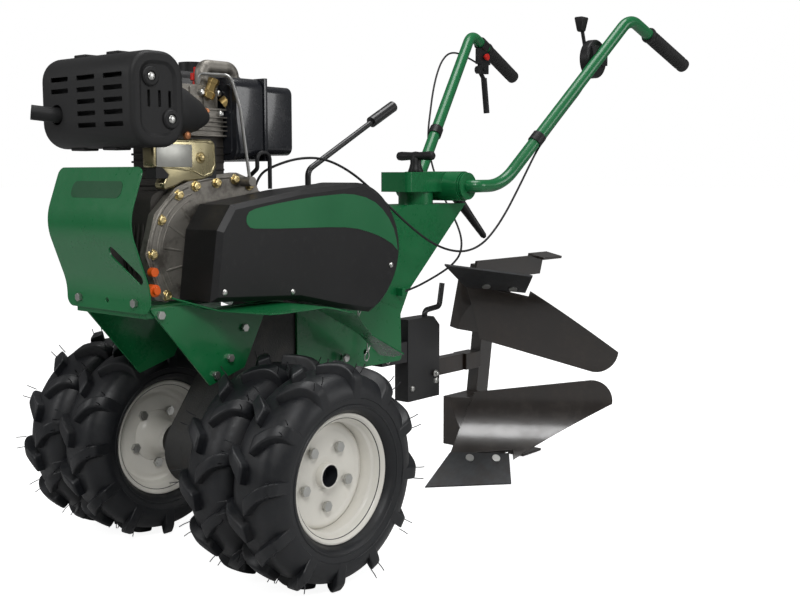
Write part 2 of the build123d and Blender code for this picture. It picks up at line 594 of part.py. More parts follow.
def make_plough():
    lean = radians(LEAN)
    middle = Plane(origin=(0, 0, BEAM_Z), z_dir=(0, sin(lean), cos(lean)))
    plane = share_plane()
    outline = make_face(Polyline((0, 0), (207.5, 0), (218, 88), (74, 97), close=True))
    share = extrude(plane * outline, amount=PLATE)
    holes = [(119, 77), (183, 73)]
    for along_edge, up in holes:
        share -= plane * Pos(along_edge, up, 0) * Cylinder(6, 30)
    room = make_face(Polyline((-6, -6), (214, -6), (226, 89), (74, 97.8), close=True))
    cutter = extrude(plane * room, amount=16, both=True)

    # the mouldboard is drawn on an upright plane along its rulings and cut from a round shell
    ruling = Vector(cos(radians(BOARD_ANGLE)), sin(radians(BOARD_ANGLE)), 0)
    across = Vector(ruling.Y, -ruling.X, 0)
    front = Plane(origin=across * (BOARD_S - BOARD_R - 60), x_dir=ruling, z_dir=across)
    edge = Polyline((790, 232), (513, 200), (450, 48), (598, 44), (848, 174))
    top = ThreePointArc((848, 174), (838, 212), (790, 232))
    board_face = make_face([*edge.edges(), top.edge()])
    shell = board_cylinder(BOARD_R + PLATE) - board_cylinder(BOARD_R)
    board = shell & extrude(front * board_face, amount=180)
    board -= cutter
    board = board.solids().sort_by(SortBy.VOLUME)[-1]

    behind = board_cylinder(BOARD_R + PLATE + 0.3)
    landside = block(-1050, -760, 14, 20, 10, 60) + block(-1070, -985, 14, 62, 3, 9)
    landside += block(-1050, -985, 14, 20, 3, 12)
    landside -= behind
    landside -= cutter
    landside = landside.solids().sort_by(SortBy.VOLUME)[-1]
    frog = block(-866, -760, -26, 60, 66, 186) + block(-866, -800, -26, 13.8, 30, 70)
    frog -= behind
    frog -= cutter
    frog = frog.solids().sort_by(SortBy.VOLUME)[-1]
    lean_axis = Axis((0, 0, BEAM_Z), (1, 0, 0))
    shank = block(-902, -853, -15, 15, 120, 424).rotate(lean_axis, -LEAN)
    save("plough_shank", shank + frog + mirror(frog, about=middle))
    save("shares", share, mirror(share, about=middle))
    save("mouldboards", board, mirror(board, about=middle))
    save("landsides", landside, mirror(landside, about=middle))
    bolts = []
    for along_edge, up in holes:
        bolt = plane * Pos(along_edge, up, PLATE + 1.6) * Cylinder(10, 3)
        bolt += plane * Pos(along_edge, up, PLATE / 2) * Cylinder(5.6, PLATE + 1)
        bolts += [bolt, mirror(bolt, about=middle)]
    save("plough_bolts", *bolts)
    beam = rod_x(0, BEAM_Z, 9, -793, -692) + block(-852.8, -792, -20, 20, BEAM_Z - 20, BEAM_Z + 20)
    save("plough_beam", beam)


def make_hitch():
    top, bottom = 398, 206
    box = block(-684, -567, -20, 20, bottom, top)
    rear_top = [e for e in box.edges().filter_by(Axis.Y) if e.center().X < -680 and e.center().Z > top - 1]
    box = chamfer(rear_top, 22)
    box -= block(-700, -573, -14, 14, bottom - 1, top - 28)
    box += block(-570, -478, -18, 18, 300, 348)
    box -= rod_y(HITCH_X, HITCH_Z, 6 + RUN, -30, 30)
    box -= rod_z(-652, 0, 6.5 + RUN, 360, 410)
    save("hitch_box", box)
    socket = block(-788, -600, -13.5, 13.5, BEAM_Z - 20, BEAM_Z + 20)
    socket -= rod_x(0, BEAM_Z, 9 + RUN, -800, -690)
    socket += rod_y(HITCH_X, HITCH_Z, 6, -26, 26)
    save("beam_socket", socket)
    crank = bent_tube([(-652, 0, 293), (-652, 0, 411), (-708, 0, 416), (-719, 0, 471)], [12, 12], 6.5)
    save("hitch_crank", crank)


# ---- control cables -------------------------------------------------------------------------------
THROTTLE_ROUTE = [
    (-86, 34, 700.3), (-93, 37, 728), (-126, 46, 746), (-184, 56, 762), (-244, 68, 762), (-300, 86, 737),
    (-351, 103, 697), (-400, 115, 656), (-454, 122, 617), (-513, 127, 583), (-575, 130, 562),
    (-638, 133, 556), (-692, 138, 571), (-734, 143, 603), (-768, 150, 643), (-799, 156, 687),
    (-828, 162, 731), (-858, 164, 770), (-895, 160, 802), (-936, 170, 845), (-982, 185, 896),
    (-1022, 196, 937), (-1061, 190, 969.5)]
CLUTCH_ROUTE = [
    (-1206, -262, 1046), (-1150, -267, 1064), (-1093, -266, 1065), (-1043, -255, 1039), (-1000, -240, 996),
    (-962, -223, 945), (-932, -207, 893), (-903, -191, 846), (-885, -176, 802), (-874, -156, 758),
    (-857, -126, 717), (-838, -91, 678), (-818, -52, 641), (-801, -16, 606), (-780, 13, 572),
    (-746, 35, 541), (-700, 46, 519), (-648, 52, 503), (-594, 56, 489), (-548, 56, 477), (-508.5, 54, 470)]


def cable_path(route):
    """The line of a cable, with arcs as large as its runs allow, and the arcs' radii."""
    points = [Vector(*p) for p in route]
    radii = []
    for before, here, after in zip(points, points[1:], points[2:]):
        arriving, leaving = here - before, after - here
        turn = radians(arriving.get_angle(leaving))
        radii.append(0.45 * min(arriving.length, leaving.length) / tan(turn / 2))
    return FilletPolyline(*points, radius=radii), radii


def round_tube(path, radius):
    return sweep(Plane(origin=path @ 0, z_dir=path % 0) * Circle(radius), path=path)


def cable(route):
    path, radii = cable_path(route)
    tube = round_tube(path, CABLE_R)
    expected = pi * CABLE_R**2 * path.length
    print(f"cable {path.length:.0f} mm, tightest arc {min(radii):.0f} mm, volume {tube.volume / expected:.4f}")
    return tube


def make_cables():
    save("throttle_cable", cable(THROTTLE_ROUTE))
    save("clutch_cable", cable(CLUTCH_ROUTE))


# ---- bolts of the chassis and engine --------------------------------------------------------------
def make_chassis_bolts():
    bolts = []
    for x, z in ((147, 516), (176, 590), (156, 650), (116, 693), (77, 708), (28, 714), (-16, 720), (-52, 709)):
        bolts.append(hexagon_y(x, z, 13, 56.2, 62.5))
    for y in (-80.6, 80.6):
        bolts.append(hexagon_x(y, 511.5, 13, 232.7, 239) + rod_x(y, 511.5, 4, 226.2, 234))
    for side in (1, -1):
        for x, z in ((10, 449), (46, 397), (80, 370), (200, 490)):
            low, high = (104.4, 111) if side > 0 else (-111, -104.4)
            bolts.append(hexagon_y(x, z, 13, low, high))
    save("chassis_bolts", *bolts)


make_wheels()
make_gearbox()
make_belt_drive()
make_belt_cover()
make_chassis()
make_fenders()
make_column()
make_engine()
make_chassis_bolts()
make_head()
make_handlebar()
make_shift_lever()
make_plough()
make_hitch()
make_cables()
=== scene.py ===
# %% [markdown]
# # A walk-behind tiller with twin wheels and a turnover plough
# This lesson dresses a finished CAD model. The CAD holds the real sizes, and each cell here adds one piece or
# one finish: lugged tyres, pressed rims, cast and painted metal, moulded plastic, cables.

# %% Load the model
import bpy
import bmesh
import json
from math import cos, pi, radians, sin
from mathutils import Matrix, Vector

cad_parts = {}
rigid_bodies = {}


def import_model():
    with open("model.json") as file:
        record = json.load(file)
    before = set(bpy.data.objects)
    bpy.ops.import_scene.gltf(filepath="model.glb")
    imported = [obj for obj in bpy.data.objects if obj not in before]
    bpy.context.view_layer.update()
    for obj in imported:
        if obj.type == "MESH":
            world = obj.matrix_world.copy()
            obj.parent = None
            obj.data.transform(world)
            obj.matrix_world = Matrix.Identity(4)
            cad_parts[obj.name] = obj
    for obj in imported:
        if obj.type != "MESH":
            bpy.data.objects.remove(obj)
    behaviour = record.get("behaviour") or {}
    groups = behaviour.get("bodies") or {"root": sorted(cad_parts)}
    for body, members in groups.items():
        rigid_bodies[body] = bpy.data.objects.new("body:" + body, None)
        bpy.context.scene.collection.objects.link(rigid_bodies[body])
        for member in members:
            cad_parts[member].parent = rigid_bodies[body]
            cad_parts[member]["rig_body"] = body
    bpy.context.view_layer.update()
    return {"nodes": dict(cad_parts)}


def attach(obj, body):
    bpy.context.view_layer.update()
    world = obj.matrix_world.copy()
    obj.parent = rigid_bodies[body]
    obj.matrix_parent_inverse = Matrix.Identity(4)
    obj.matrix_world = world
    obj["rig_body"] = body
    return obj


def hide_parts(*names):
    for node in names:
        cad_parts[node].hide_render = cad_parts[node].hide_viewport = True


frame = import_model()
nodes = frame["nodes"]
print("nodes loaded:", len(nodes))

# %% [markdown]
# ## Camera
# The camera stands in front of the machine on its left, between the hubs and the handlebar in height, and
# looks down slightly. A lens of about 50 mm on a full frame sensor keeps the near wheel from bulging.

# %% Camera
AXLE_X = 0.555        # from the middle of the machine to the axle
AXLE_Z = 0.203        # from the floor to the axle, which is the radius over the lugs
CAMERA_YAW = 0.8726
CAMERA_PITCH = 0.1129
camera_data = bpy.data.cameras.new("camera")
camera_data.lens = 49.87
camera_data.sensor_width = 36.0
camera = bpy.data.objects.new("camera", camera_data)
bpy.context.scene.collection.objects.link(camera)
camera.location = (1.9298, 1.6252, 0.7266)
level = cos(CAMERA_PITCH)
looking = Vector((-sin(CAMERA_YAW) * level, -cos(CAMERA_YAW) * level, -sin(CAMERA_PITCH)))
camera.rotation_euler = looking.to_track_quat("-Z", "Y").to_euler()
bpy.context.scene.camera = camera

# %% [markdown]
# ## Small helpers
# Operators act on whatever is selected, so each helper clears the selection first. A piece is always finished
# with its object at the origin, because its pattern and its place must not move apart.


# %% Selection and modifier helpers
def deselect():
    for one in list(bpy.context.selected_objects):
        one.select_set(False)


def pick(piece):
    deselect()
    piece.select_set(True)
    bpy.context.view_layer.objects.active = piece
    return piece


def settle(piece, name):
    """Name the piece and put its place into its mesh."""
    pick(piece)
    piece.name = name
    piece.data.name = name
    bpy.ops.object.transform_apply(location=True, rotation=True, scale=True)
    return piece


def modify(piece, kind, **settings):
    pick(piece)
    modifier = piece.modifiers.new(kind.lower(), kind)
    for key, value in settings.items():
        setattr(modifier, key, value)
    bpy.ops.object.modifier_apply(modifier=modifier.name)
    return piece


def smooth(piece, angle=35):
    pick(piece)
    bpy.ops.object.shade_smooth_by_angle(angle=radians(angle))
    return piece


def tidy_normals(piece):
    pick(piece)
    bpy.ops.object.mode_set(mode="EDIT")
    bpy.ops.mesh.select_all(action="SELECT")
    bpy.ops.mesh.remove_doubles(threshold=0.00002)
    bpy.ops.mesh.normals_make_consistent(inside=False)
    bpy.ops.object.mode_set(mode="OBJECT")
    return piece


def join(name, parts):
    deselect()
    for part in parts:
        part.select_set(True)
    bpy.context.view_layer.objects.active = parts[0]
    if len(parts) > 1:
        bpy.ops.object.join()
    parts[0].name = name
    parts[0].data.name = name
    return parts[0]


# %% Shape helpers
def bar_block(name, low, high, bevel=0.002, segments=3):
    """A block from its corners, with rounded edges."""
    deselect()
    centre = [(a + b) / 2 for a, b in zip(low, high)]
    size = [b - a for a, b in zip(low, high)]
    bpy.ops.mesh.primitive_cube_add(size=1, location=centre, scale=size)
    piece = settle(bpy.context.object, name)
    modify(piece, "BEVEL", width=bevel, segments=segments, limit_method="NONE")
    return smooth(piece)


def turned(name, profile, centre, axis="Y", steps=96, closed=True):
    """Spin a profile of (radius, distance along the axis) round an axis through centre."""
    deselect()
    mesh = bpy.data.meshes.new(name)
    points = []
    for radius, distance in profile:
        if axis == "Y":
            points.append((centre[0] + radius, centre[1] + distance, centre[2]))
        elif axis == "Z":
            points.append((centre[0] + radius, centre[1], centre[2] + distance))
        else:
            points.append((centre[0] + distance, centre[1], centre[2] + radius))
    edges = [(k, k + 1) for k in range(len(points) - 1)]
    if closed:
        edges.append((len(points) - 1, 0))
    mesh.from_pydata(points, edges, [])
    piece = bpy.data.objects.new(name, mesh)
    bpy.context.scene.collection.objects.link(piece)
    pick(piece)
    bpy.ops.object.mode_set(mode="EDIT")
    bpy.ops.mesh.select_all(action="SELECT")
    direction = {"X": (1, 0, 0), "Y": (0, 1, 0), "Z": (0, 0, 1)}[axis]
    bpy.ops.mesh.spin(steps=steps, angle=2 * pi, center=centre, axis=direction)
    bpy.ops.object.mode_set(mode="OBJECT")
    tidy_normals(piece)
    return smooth(piece)


def turned_on(name, profile, start, end, steps=48):
    """Spin a closed profile about the line from start to end: distances are measured from start."""
    piece = turned(name, profile, (0, 0, 0), "Z", steps, closed=False)
    line = Vector(end) - Vector(start)
    turn = line.to_track_quat("Z", "X").to_matrix().to_4x4()
    piece.matrix_world = Matrix.Translation(Vector(start)) @ turn
    return settle(piece, name)


def tube(name, points, radius, kind="POLY", sides=4):
    """A round tube along points, made a mesh."""
    curve = bpy.data.curves.new(name, "CURVE")
    curve.dimensions = "3D"
    curve.bevel_depth = radius
    curve.bevel_resolution = sides
    curve.use_fill_caps = True
    spline = curve.splines.new(kind)
    spline.points.add(len(points) - 1)
    for point, place in zip(spline.points, points):
        point.co = (*place, 1)
    if kind == "NURBS":
        spline.order_u = 3
        spline.use_endpoint_u = True
        spline.resolution_u = 8
    piece = bpy.data.objects.new(name, curve)
    bpy.context.scene.collection.objects.link(piece)
    pick(piece)
    bpy.ops.object.convert(target="MESH")
    piece = bpy.context.object
    return smooth(piece, 50)


def plate_xz(name, outline, low_y, high_y, bevel=0.0, segments=2):
    """A flat plate standing in the x-z plane, from its outline of (x, z)."""
    deselect()
    mesh = bpy.data.meshes.new(name)
    mesh.from_pydata([(x, low_y, z) for x, z in outline], [], [list(range(len(outline)))])
    piece = bpy.data.objects.new(name, mesh)
    bpy.context.scene.collection.objects.link(piece)
    pick(piece)
    bpy.ops.object.mode_set(mode="EDIT")
    bpy.ops.mesh.select_all(action="SELECT")
    bpy.ops.mesh.extrude_region_move(TRANSFORM_OT_translate={"value": (0, high_y - low_y, 0)})
    bpy.ops.object.mode_set(mode="OBJECT")
    tidy_normals(piece)
    if bevel:
        modify(piece, "BEVEL", width=bevel, segments=segments, angle_limit=radians(40))
    return smooth(piece)


def axle_frame(x, y, z):
    """A point given in millimetres from the floor under the axle."""
    return (x / 1000 + AXLE_X, y / 1000, z / 1000)


def body_of(node):
    """The body that a CAD node rides on."""
    return nodes[node]["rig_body"]


def done(piece, body, material, replaces=()):
    """Everything a finished piece needs: its finish in a material slot, its body, and the CAD parts it
    replaces hidden.
    """
    piece.data.materials.clear()
    piece.data.materials.append(material)
    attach(piece, body)
    if replaces:
        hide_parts(*replaces)
    return piece


# %% [markdown]
# ## Writing shaders as sums
# A node tree is easier to read as arithmetic. The small class below wraps a socket, so that
# `0.3 + 0.1 * grain` adds the Math nodes by itself. Colours go through a Mix node, because a Math node would
# make them grey.

# %% Shader arithmetic
class Signal:
    def __init__(self, sheet, socket):
        self.sheet = sheet
        self.socket = socket

    def maths(self, operation, other, flipped=False):
        values = [other, self] if flipped else [self, other]
        return self.sheet.add("ShaderNodeMath", {"operation": operation}, dict(enumerate(values)))

    def __add__(self, other):
        return self.maths("ADD", other)

    __radd__ = __add__

    def __sub__(self, other):
        return self.maths("SUBTRACT", other)

    def __rsub__(self, other):
        return self.maths("SUBTRACT", other, True)

    def __mul__(self, other):
        return self.maths("MULTIPLY", other)

    __rmul__ = __mul__

    def above(self, limit, soft=0.001):
        """1 where the value is over limit, with a soft edge."""
        settings = {"clamp": True}
        return self.sheet.add("ShaderNodeMapRange", settings, {0: self, 1: limit - soft, 2: limit + soft})


class ShaderSheet:
    def __init__(self, name):
        self.material = bpy.data.materials.new(name)
        self.material.use_nodes = True
        self.tree = self.material.node_tree
        self.tree.nodes.clear()
        self.place = self.add("ShaderNodeTexCoord", {}, {}, "Object")

    def add(self, kind, settings, sockets, output=0):
        node = self.tree.nodes.new(kind)
        for key, value in settings.items():
            setattr(node, key, value)
        for key, value in sockets.items():
            if isinstance(value, Signal):
                self.tree.links.new(value.socket, node.inputs[key])
            else:
                node.inputs[key].default_value = value
        return Signal(self, node.outputs[output])

    def noise(self, scale, detail=3.0, rough=0.55, stretch=None):
        place = self.place
        if stretch:
            place = self.add("ShaderNodeMapping", {}, {"Vector": place, "Scale": stretch})
        sockets = {"Vector": place, "Scale": scale, "Detail": detail, "Roughness": rough}
        return self.add("ShaderNodeTexNoise", {}, sockets)

    def cells(self, scale):
        return self.add("ShaderNodeTexVoronoi", {}, {"Vector": self.place, "Scale": scale})

    def mix(self, factor, low, high):
        settings = {"data_type": "RGBA"}
        return self.add("ShaderNodeMix", settings, {0: factor, 6: low, 7: high}, 2)

    def bump(self, height, strength, distance, edge=0.0):
        sockets = {"Height": height, "Strength": strength, "Distance": distance}
        if edge:
            sockets["Normal"] = self.add("ShaderNodeBevel", {"samples": 4}, {"Radius": edge})
        return self.add("ShaderNodeBump", {}, sockets)

    def surface(self, **sockets):
        named = {key.replace("_", " ").title(): value for key, value in sockets.items()}
        if "Specular Ior Level" in named:
            named["Specular IOR Level"] = named.pop("Specular Ior Level")
        shader = self.add("ShaderNodeBsdfPrincipled", {}, named)
        output = self.tree.nodes.new("ShaderNodeOutputMaterial")
        self.tree.links.new(shader.socket, output.inputs[0])
        return self.material


def shade(colour, factor):
    """A colour made darker or lighter."""
    return tuple(min(1.0, part * factor) for part in colour) + (1.0,)


# %% [markdown]
# ## Finishes
# Gloss paint on sheet steel has a slight orange peel, and dust makes it rougher in patches. Cast alloy is
# pitted and holds oil in its hollows. Moulded plastic has a fine even grain. Each finish below is one
# function, so that green and cream paint share their way of being made.

# %% Paint
def gloss_paint(name, colour, rough=0.28, dust=0.35, edge=0.0015):
    sheet = ShaderSheet(name)
    cloud = sheet.noise(7.0, 4.0)
    peel = sheet.noise(260.0, 2.0)
    speck = sheet.noise(90.0, 5.0, 0.7)
    dusty = (cloud * speck).above(0.30, 0.12)
    base = sheet.mix(cloud, shade(colour, 0.82), shade(colour, 1.12))
    dust_colour = tuple(0.85 * part + 0.012 for part in colour) + (1.0,)
    base = sheet.mix(dusty * dust, base, dust_colour)
    rough_all = rough + 0.10 * cloud + 0.16 * dusty
    relief = sheet.bump(peel, 0.10, 0.0004, edge)
    return sheet.surface(base_color=base, roughness=rough_all, normal=relief, coat_weight=0.30,
                         coat_roughness=0.10, specular_ior_level=0.35)


green_paint = gloss_paint("green_paint", (0.005, 0.135, 0.040), 0.22, 0.15)
cream_paint = gloss_paint("cream_paint", (0.74, 0.72, 0.66), 0.34, 0.2)
black_paint = gloss_paint("black_paint", (0.012, 0.012, 0.013), 0.36, 0.5)
tube_green = gloss_paint("tube_green", (0.005, 0.135, 0.040), 0.30, 0.10, 0.0)
tube_black = gloss_paint("tube_black", (0.012, 0.012, 0.013), 0.36, 0.3, 0.0)


# %% Plough dip paint
def dip_paint(name, colour):
    """Thin brown-black paint that ran before it dried, over rolled plate."""
    sheet = ShaderSheet(name)
    runs = sheet.noise(14.0, 4.0, 0.6, (1.0, 1.0, 0.18))
    scale_marks = sheet.noise(55.0, 5.0, 0.65)
    thin = (runs * scale_marks).above(0.33, 0.08)
    base = sheet.mix(runs, shade(colour, 0.55), shade(colour, 1.5))
    base = sheet.mix(thin * 0.5, base, (0.030, 0.021, 0.015, 1.0))
    relief = sheet.bump(scale_marks, 0.22, 0.0008, 0.002)
    return sheet.surface(base_color=base, roughness=0.22 + 0.20 * runs + 0.12 * thin, normal=relief,
                         coat_weight=0.5, coat_roughness=0.16)


plough_paint = dip_paint("plough_paint", (0.013, 0.0085, 0.006))


# %% Castings and plated steel
def casting(name, colour, metallic=0.55, rough=0.42, grime=0.6):
    sheet = ShaderSheet(name)
    pits = sheet.cells(420.0)
    lumps = sheet.noise(45.0, 4.0)
    oil = sheet.noise(16.0, 5.0, 0.65).above(0.56, 0.07)
    base = sheet.mix(lumps, shade(colour, 0.70), shade(colour, 1.20))
    base = sheet.mix(oil * grime, base, (0.035, 0.030, 0.024, 1.0))
    relief = sheet.bump(pits * 0.5 + lumps, 0.45, 0.0011, 0.0015)
    return sheet.surface(base_color=base, roughness=rough + 0.18 * lumps - 0.10 * oil, metallic=metallic,
                         normal=relief)


def plated(name, colour, rough=0.24, tint=None):
    """Zinc plate: bright, faintly streaked, with a rainbow or yellow cast in patches."""
    sheet = ShaderSheet(name)
    streaks = sheet.noise(80.0, 3.0, 0.5, (1.0, 1.0, 0.25))
    patches = sheet.noise(24.0, 3.0)
    base = sheet.mix(patches, shade(colour, 0.8), shade(tint or colour, 1.15))
    relief = sheet.bump(streaks, 0.15, 0.0004, 0.0008)
    return sheet.surface(base_color=base, roughness=rough + 0.14 * streaks, metallic=0.92, normal=relief)


cast_alloy = casting("cast_alloy", (0.24, 0.225, 0.20), 0.6, 0.40, 0.75)
cast_dark = casting("cast_dark", (0.050, 0.045, 0.040), 0.35, 0.48, 0.7)
cast_grey = casting("cast_grey", (0.030, 0.030, 0.029), 0.30, 0.50)
zinc_steel = plated("zinc_steel", (0.50, 0.50, 0.48))
gold_zinc = plated("gold_zinc", (0.50, 0.37, 0.15), 0.26, (0.52, 0.44, 0.24))
shroud_gold = plated("shroud_gold", (0.34, 0.29, 0.15), 0.22, (0.46, 0.41, 0.26))
silver_plate = plated("silver_plate", (0.42, 0.42, 0.39), 0.34)
plain_steel = plated("plain_steel", (0.40, 0.40, 0.39), 0.34)
bore_steel = plated("bore_steel", (0.10, 0.105, 0.12), 0.38)
brass_fitting = plated("brass_fitting", (0.42, 0.30, 0.12), 0.30)
copper_bolt = plated("copper_bolt", (0.40, 0.17, 0.08), 0.32)


# %% Share steel
def worn_plate(name, colour):
    """Rolled plate with grinding marks and mill scale."""
    sheet = ShaderSheet(name)
    grind = sheet.noise(120.0, 4.0, 0.6, (0.2, 1.0, 1.0))
    scale_marks = sheet.noise(30.0, 5.0, 0.7)
    dark = scale_marks.above(0.55, 0.10)
    base = sheet.mix(grind, shade(colour, 0.7), shade(colour, 1.25))
    base = sheet.mix(dark * 0.6, base, (0.05, 0.045, 0.042, 1.0))
    relief = sheet.bump(grind + scale_marks, 0.3, 0.0006, 0.001)
    return sheet.surface(base_color=base, roughness=0.34 + 0.2 * scale_marks, metallic=0.7, normal=relief)


share_steel = worn_plate("share_steel", (0.055, 0.057, 0.060))


# %% Plastics
def moulded(name, colour, rough=0.45, grain=0.25, grain_scale=900.0, coat=0.0, edge=0.0015):
    sheet = ShaderSheet(name)
    fine = sheet.noise(grain_scale, 2.0)
    cloud = sheet.noise(9.0, 4.0)
    rub = sheet.noise(60.0, 5.0, 0.7).above(0.62, 0.06)
    base = sheet.mix(cloud, shade(colour, 0.75), shade(colour, 1.35))
    base = sheet.mix(rub * 0.12, base, (0.06, 0.06, 0.06, 1.0))
    relief = sheet.bump(fine, grain, 0.0003, edge)
    return sheet.surface(base_color=base, roughness=rough + 0.14 * cloud + 0.08 * rub, normal=relief,
                         coat_weight=coat, coat_roughness=0.1, specular_ior_level=0.30)


black_plastic = moulded("black_plastic", (0.009, 0.009, 0.0095), 0.38)
gloss_black = moulded("gloss_black_plastic", (0.010, 0.011, 0.014), 0.20, 0.05, 500.0, 0.4)
shield_black = moulded("shield_black", (0.011, 0.011, 0.0115), 0.50, 0.45, 700.0)
grip_rubber = moulded("grip_rubber", (0.011, 0.011, 0.011), 0.50, 0.3, 600.0, 0.0, 0.0)
clip_black = moulded("clip_black", (0.009, 0.009, 0.0095), 0.40, 0.2, 900.0, 0.0, 0.0)
cable_black = moulded("cable_black", (0.010, 0.010, 0.011), 0.40, 0.1, 900.0, 0.0, 0.0)
red_cap = moulded("red_cap", (0.50, 0.018, 0.012), 0.28, 0.1)
orange_plug = moulded("orange_plug", (0.78, 0.115, 0.012), 0.32, 0.1)


# %% Tyre rubber
def tyre_rubber():
    """Black rubber with a painted bluish sheen in lighter patches, dusty and scuffed in patches."""
    sheet = ShaderSheet("tyre_rubber")
    painted_sheen = sheet.noise(11.0, 4.0, 0.6)
    scuff = sheet.noise(70.0, 5.0, 0.7)
    dusty = (painted_sheen * scuff).above(0.31, 0.09)
    fine = sheet.noise(520.0, 2.0)
    # painted sheen: the lighter bluish patches in the colour stand in for the sheen of light on the rubber
    base = sheet.mix(painted_sheen, (0.004, 0.0044, 0.0052, 1.0), (0.012, 0.0135, 0.017, 1.0))
    base = sheet.mix(dusty * 0.3, base, (0.030, 0.028, 0.026, 1.0))
    relief = sheet.bump(fine * 0.4 + scuff, 0.35, 0.0007)
    return sheet.surface(base_color=base, roughness=0.36 + 0.16 * painted_sheen + 0.15 * dusty, normal=relief,
                         specular_ior_level=0.40)


tyre_black = tyre_rubber()

# %% [markdown]
# ## Finishes on the CAD pieces
# Pieces whose CAD shape is already right only need the right finish. A bevel inside the shader rounds their
# edges in the light, so sheet and casting edges catch it as real ones do.

# %% Dress the CAD pieces
finish_of = {
    green_paint: ("engine_frame", "front_guard", "side_plates", "fenders", "column", "steering_head"),
    tube_green: ("left_bar", "right_bar", "cross_tube"),
    tube_black: ("shift_lever", "hitch_crank"),
    clip_black: ("cable_clips",),
    black_paint: ("belt_cover_back", "recoil_starter", "fuel_tank", "hitch_box"),
    plough_paint: ("plough_shank", "mouldboards", "landsides", "plough_beam", "beam_socket"),
    share_steel: ("shares",),
    zinc_steel: ("wheel_bolts", "belt_tensioner", "plough_bolts", "chassis_bolts"),
    plain_steel: ("axle_shaft", "crank_pulley", "driven_pulley", "injector_pipe"),
    cast_alloy: ("cylinder_head", "rocker_cover", "intake_elbow", "crankcase_cover"),
    cast_dark: ("crankcase",),
    cast_grey: ("gearbox",),
    black_plastic: ("belt_cover", "fuel_cap", "recoil_grip", "clamp_lever", "throttle_lever",
                    "clutch_bracket", "clutch_lever", "blower_housing", "height_knob",
                    "throttle_housing"),
    shield_black: ("muffler_shield", "muffler"),
    cable_black: ("v_belt", "return_hose"),
    red_cap: ("decompression_lever", "stop_button"),
    orange_plug: ("oil_plugs",),
}
for material, names in finish_of.items():
    for name in names:
        piece = nodes[name]
        piece.data.materials.clear()
        piece.data.materials.append(material)

# %% [markdown]
# ## Tyres
# A tractor tyre is a round carcass with tall bars of rubber, the lugs, that meet in a broken V. The carcass
# is one spun profile. Each lug is a cut-up cube whose points are moved onto the carcass, and the two
# shoulders are half a step apart.

# %% Carcass and lug shape
TYRE_R = AXLE_Z
CARCASS_R = 0.186
HALF_W = 0.056
LUGS = 12


def carcass_radius(across):
    return CARCASS_R - 0.030 * min(1.0, abs(across) / HALF_W) ** 4.5


def bend_lug(unit, side, start):
    """Move a point of the unit lug (0..1 along, -0.5..0.5 across, 0..1 up) onto the tyre."""
    run, wide, up = unit
    across = 0.003 + 0.0545 * run
    width = 0.021 + 0.016 * (1 - run) ** 2 + 0.008 * run ** 3
    width *= 1.22 - 0.34 * up
    lean = -0.040 * (1 - run) ** 1.4
    low = carcass_radius(across) - 0.006
    high = TYRE_R - 0.0005 - 0.022 * max(0.0, (run - 0.45) / 0.55) ** 2.2
    if run > 0.9:
        low -= 0.012 * (run - 0.9) / 0.1
    radius = low + (high - low) * up
    angle = start + (lean + wide * width) / TYRE_R
    return Vector((radius * cos(angle), side * across, radius * sin(angle)))


def make_lug(side, start):
    deselect()
    bpy.ops.mesh.primitive_cube_add(size=1, location=(0.5, 0, 0.5))
    lug = settle(bpy.context.object, "lug")
    bpy.ops.object.mode_set(mode="EDIT")
    bpy.ops.mesh.select_all(action="SELECT")
    bpy.ops.mesh.subdivide(number_cuts=4)
    bpy.ops.object.mode_set(mode="OBJECT")
    for vertex in lug.data.vertices:
        vertex.co = bend_lug(vertex.co, side, start)
    if side > 0:
        lug.data.flip_normals()
    modify(lug, "SUBSURF", levels=1, render_levels=1)
    return lug


def make_whisker(side, start, tip):
    """A thin hair of rubber left by the vent of the mould."""
    angle = start + tip / TYRE_R
    foot = Vector((0.186 * cos(angle), side * 0.050, 0.186 * sin(angle)))
    end = Vector((0.204 * cos(angle), side * 0.059, 0.204 * sin(angle)))
    if end.z < -0.198:
        return None
    return tube("whisker", [foot, (foot + end) / 2 + Vector((0, side * 0.0012, 0)), end], 0.0009, "POLY", 1)


# %% One whole tyre
def carcass_profile():
    outside = []
    for step in range(25):
        across = HALF_W * (step / 12 - 1)
        outside.append((carcass_radius(across), across))
    left = [(0.1480, 0.0574), (0.1440, 0.0573), (0.1432, 0.0559), (0.1385, 0.0552), (0.1330, 0.0536),
            (0.1322, 0.0546), (0.1300, 0.0544), (0.1292, 0.0528), (0.1240, 0.0505), (0.1210, 0.0470),
            (0.1170, 0.040), (0.1152, 0.0345), (0.1056, 0.0335), (0.1056, 0.024), (0.114, 0.0235),
            (0.150, 0.044), (0.168, 0.030)]
    right = [(r, -y) for r, y in reversed(left)]
    return outside + left + [(0.172, 0.0)] + right


def make_tyre(name, centre_y, turn):
    body = turned("carcass", carcass_profile(), (0, 0, 0), "Y", 120)
    parts = [body]
    for side in (1, -1):
        for count in range(LUGS):
            start = turn + 2 * pi * (count + (0.5 if side < 0 else 0.0)) / LUGS
            parts.append(make_lug(side, start))
            for tip in (-0.010, 0.012):
                whisker = make_whisker(side, start, tip)
                if whisker:
                    parts.append(whisker)
    tyre = join(name, parts)
    tyre.location = (AXLE_X, centre_y, AXLE_Z)
    settle(tyre, name)
    smooth(tyre, 40)
    return done(tyre, "axle", tyre_black, ["tyres"])


OUTER_Y = 0.3015      # the middle of an outer wheel
INNER_Y = 0.1835      # the middle of an inner wheel
for name, centre_y, turn in (("tyre_left_out", OUTER_Y, 0.13), ("tyre_left_in", INNER_Y, 0.30),
                             ("tyre_right_in", -INNER_Y, 0.05), ("tyre_right_out", -OUTER_Y, 0.22)):
    tyre = make_tyre(name, centre_y, turn)
    print(name, "faces", len(tyre.data.polygons))

# %% [markdown]
# ## Rims
# A rim is rolled from one strip: a lip, a bead seat and a drop centre. The disc is pressed with a raised ring
# and welded in, and the hub tube goes through it. Here each is one spun line that is given a wall.

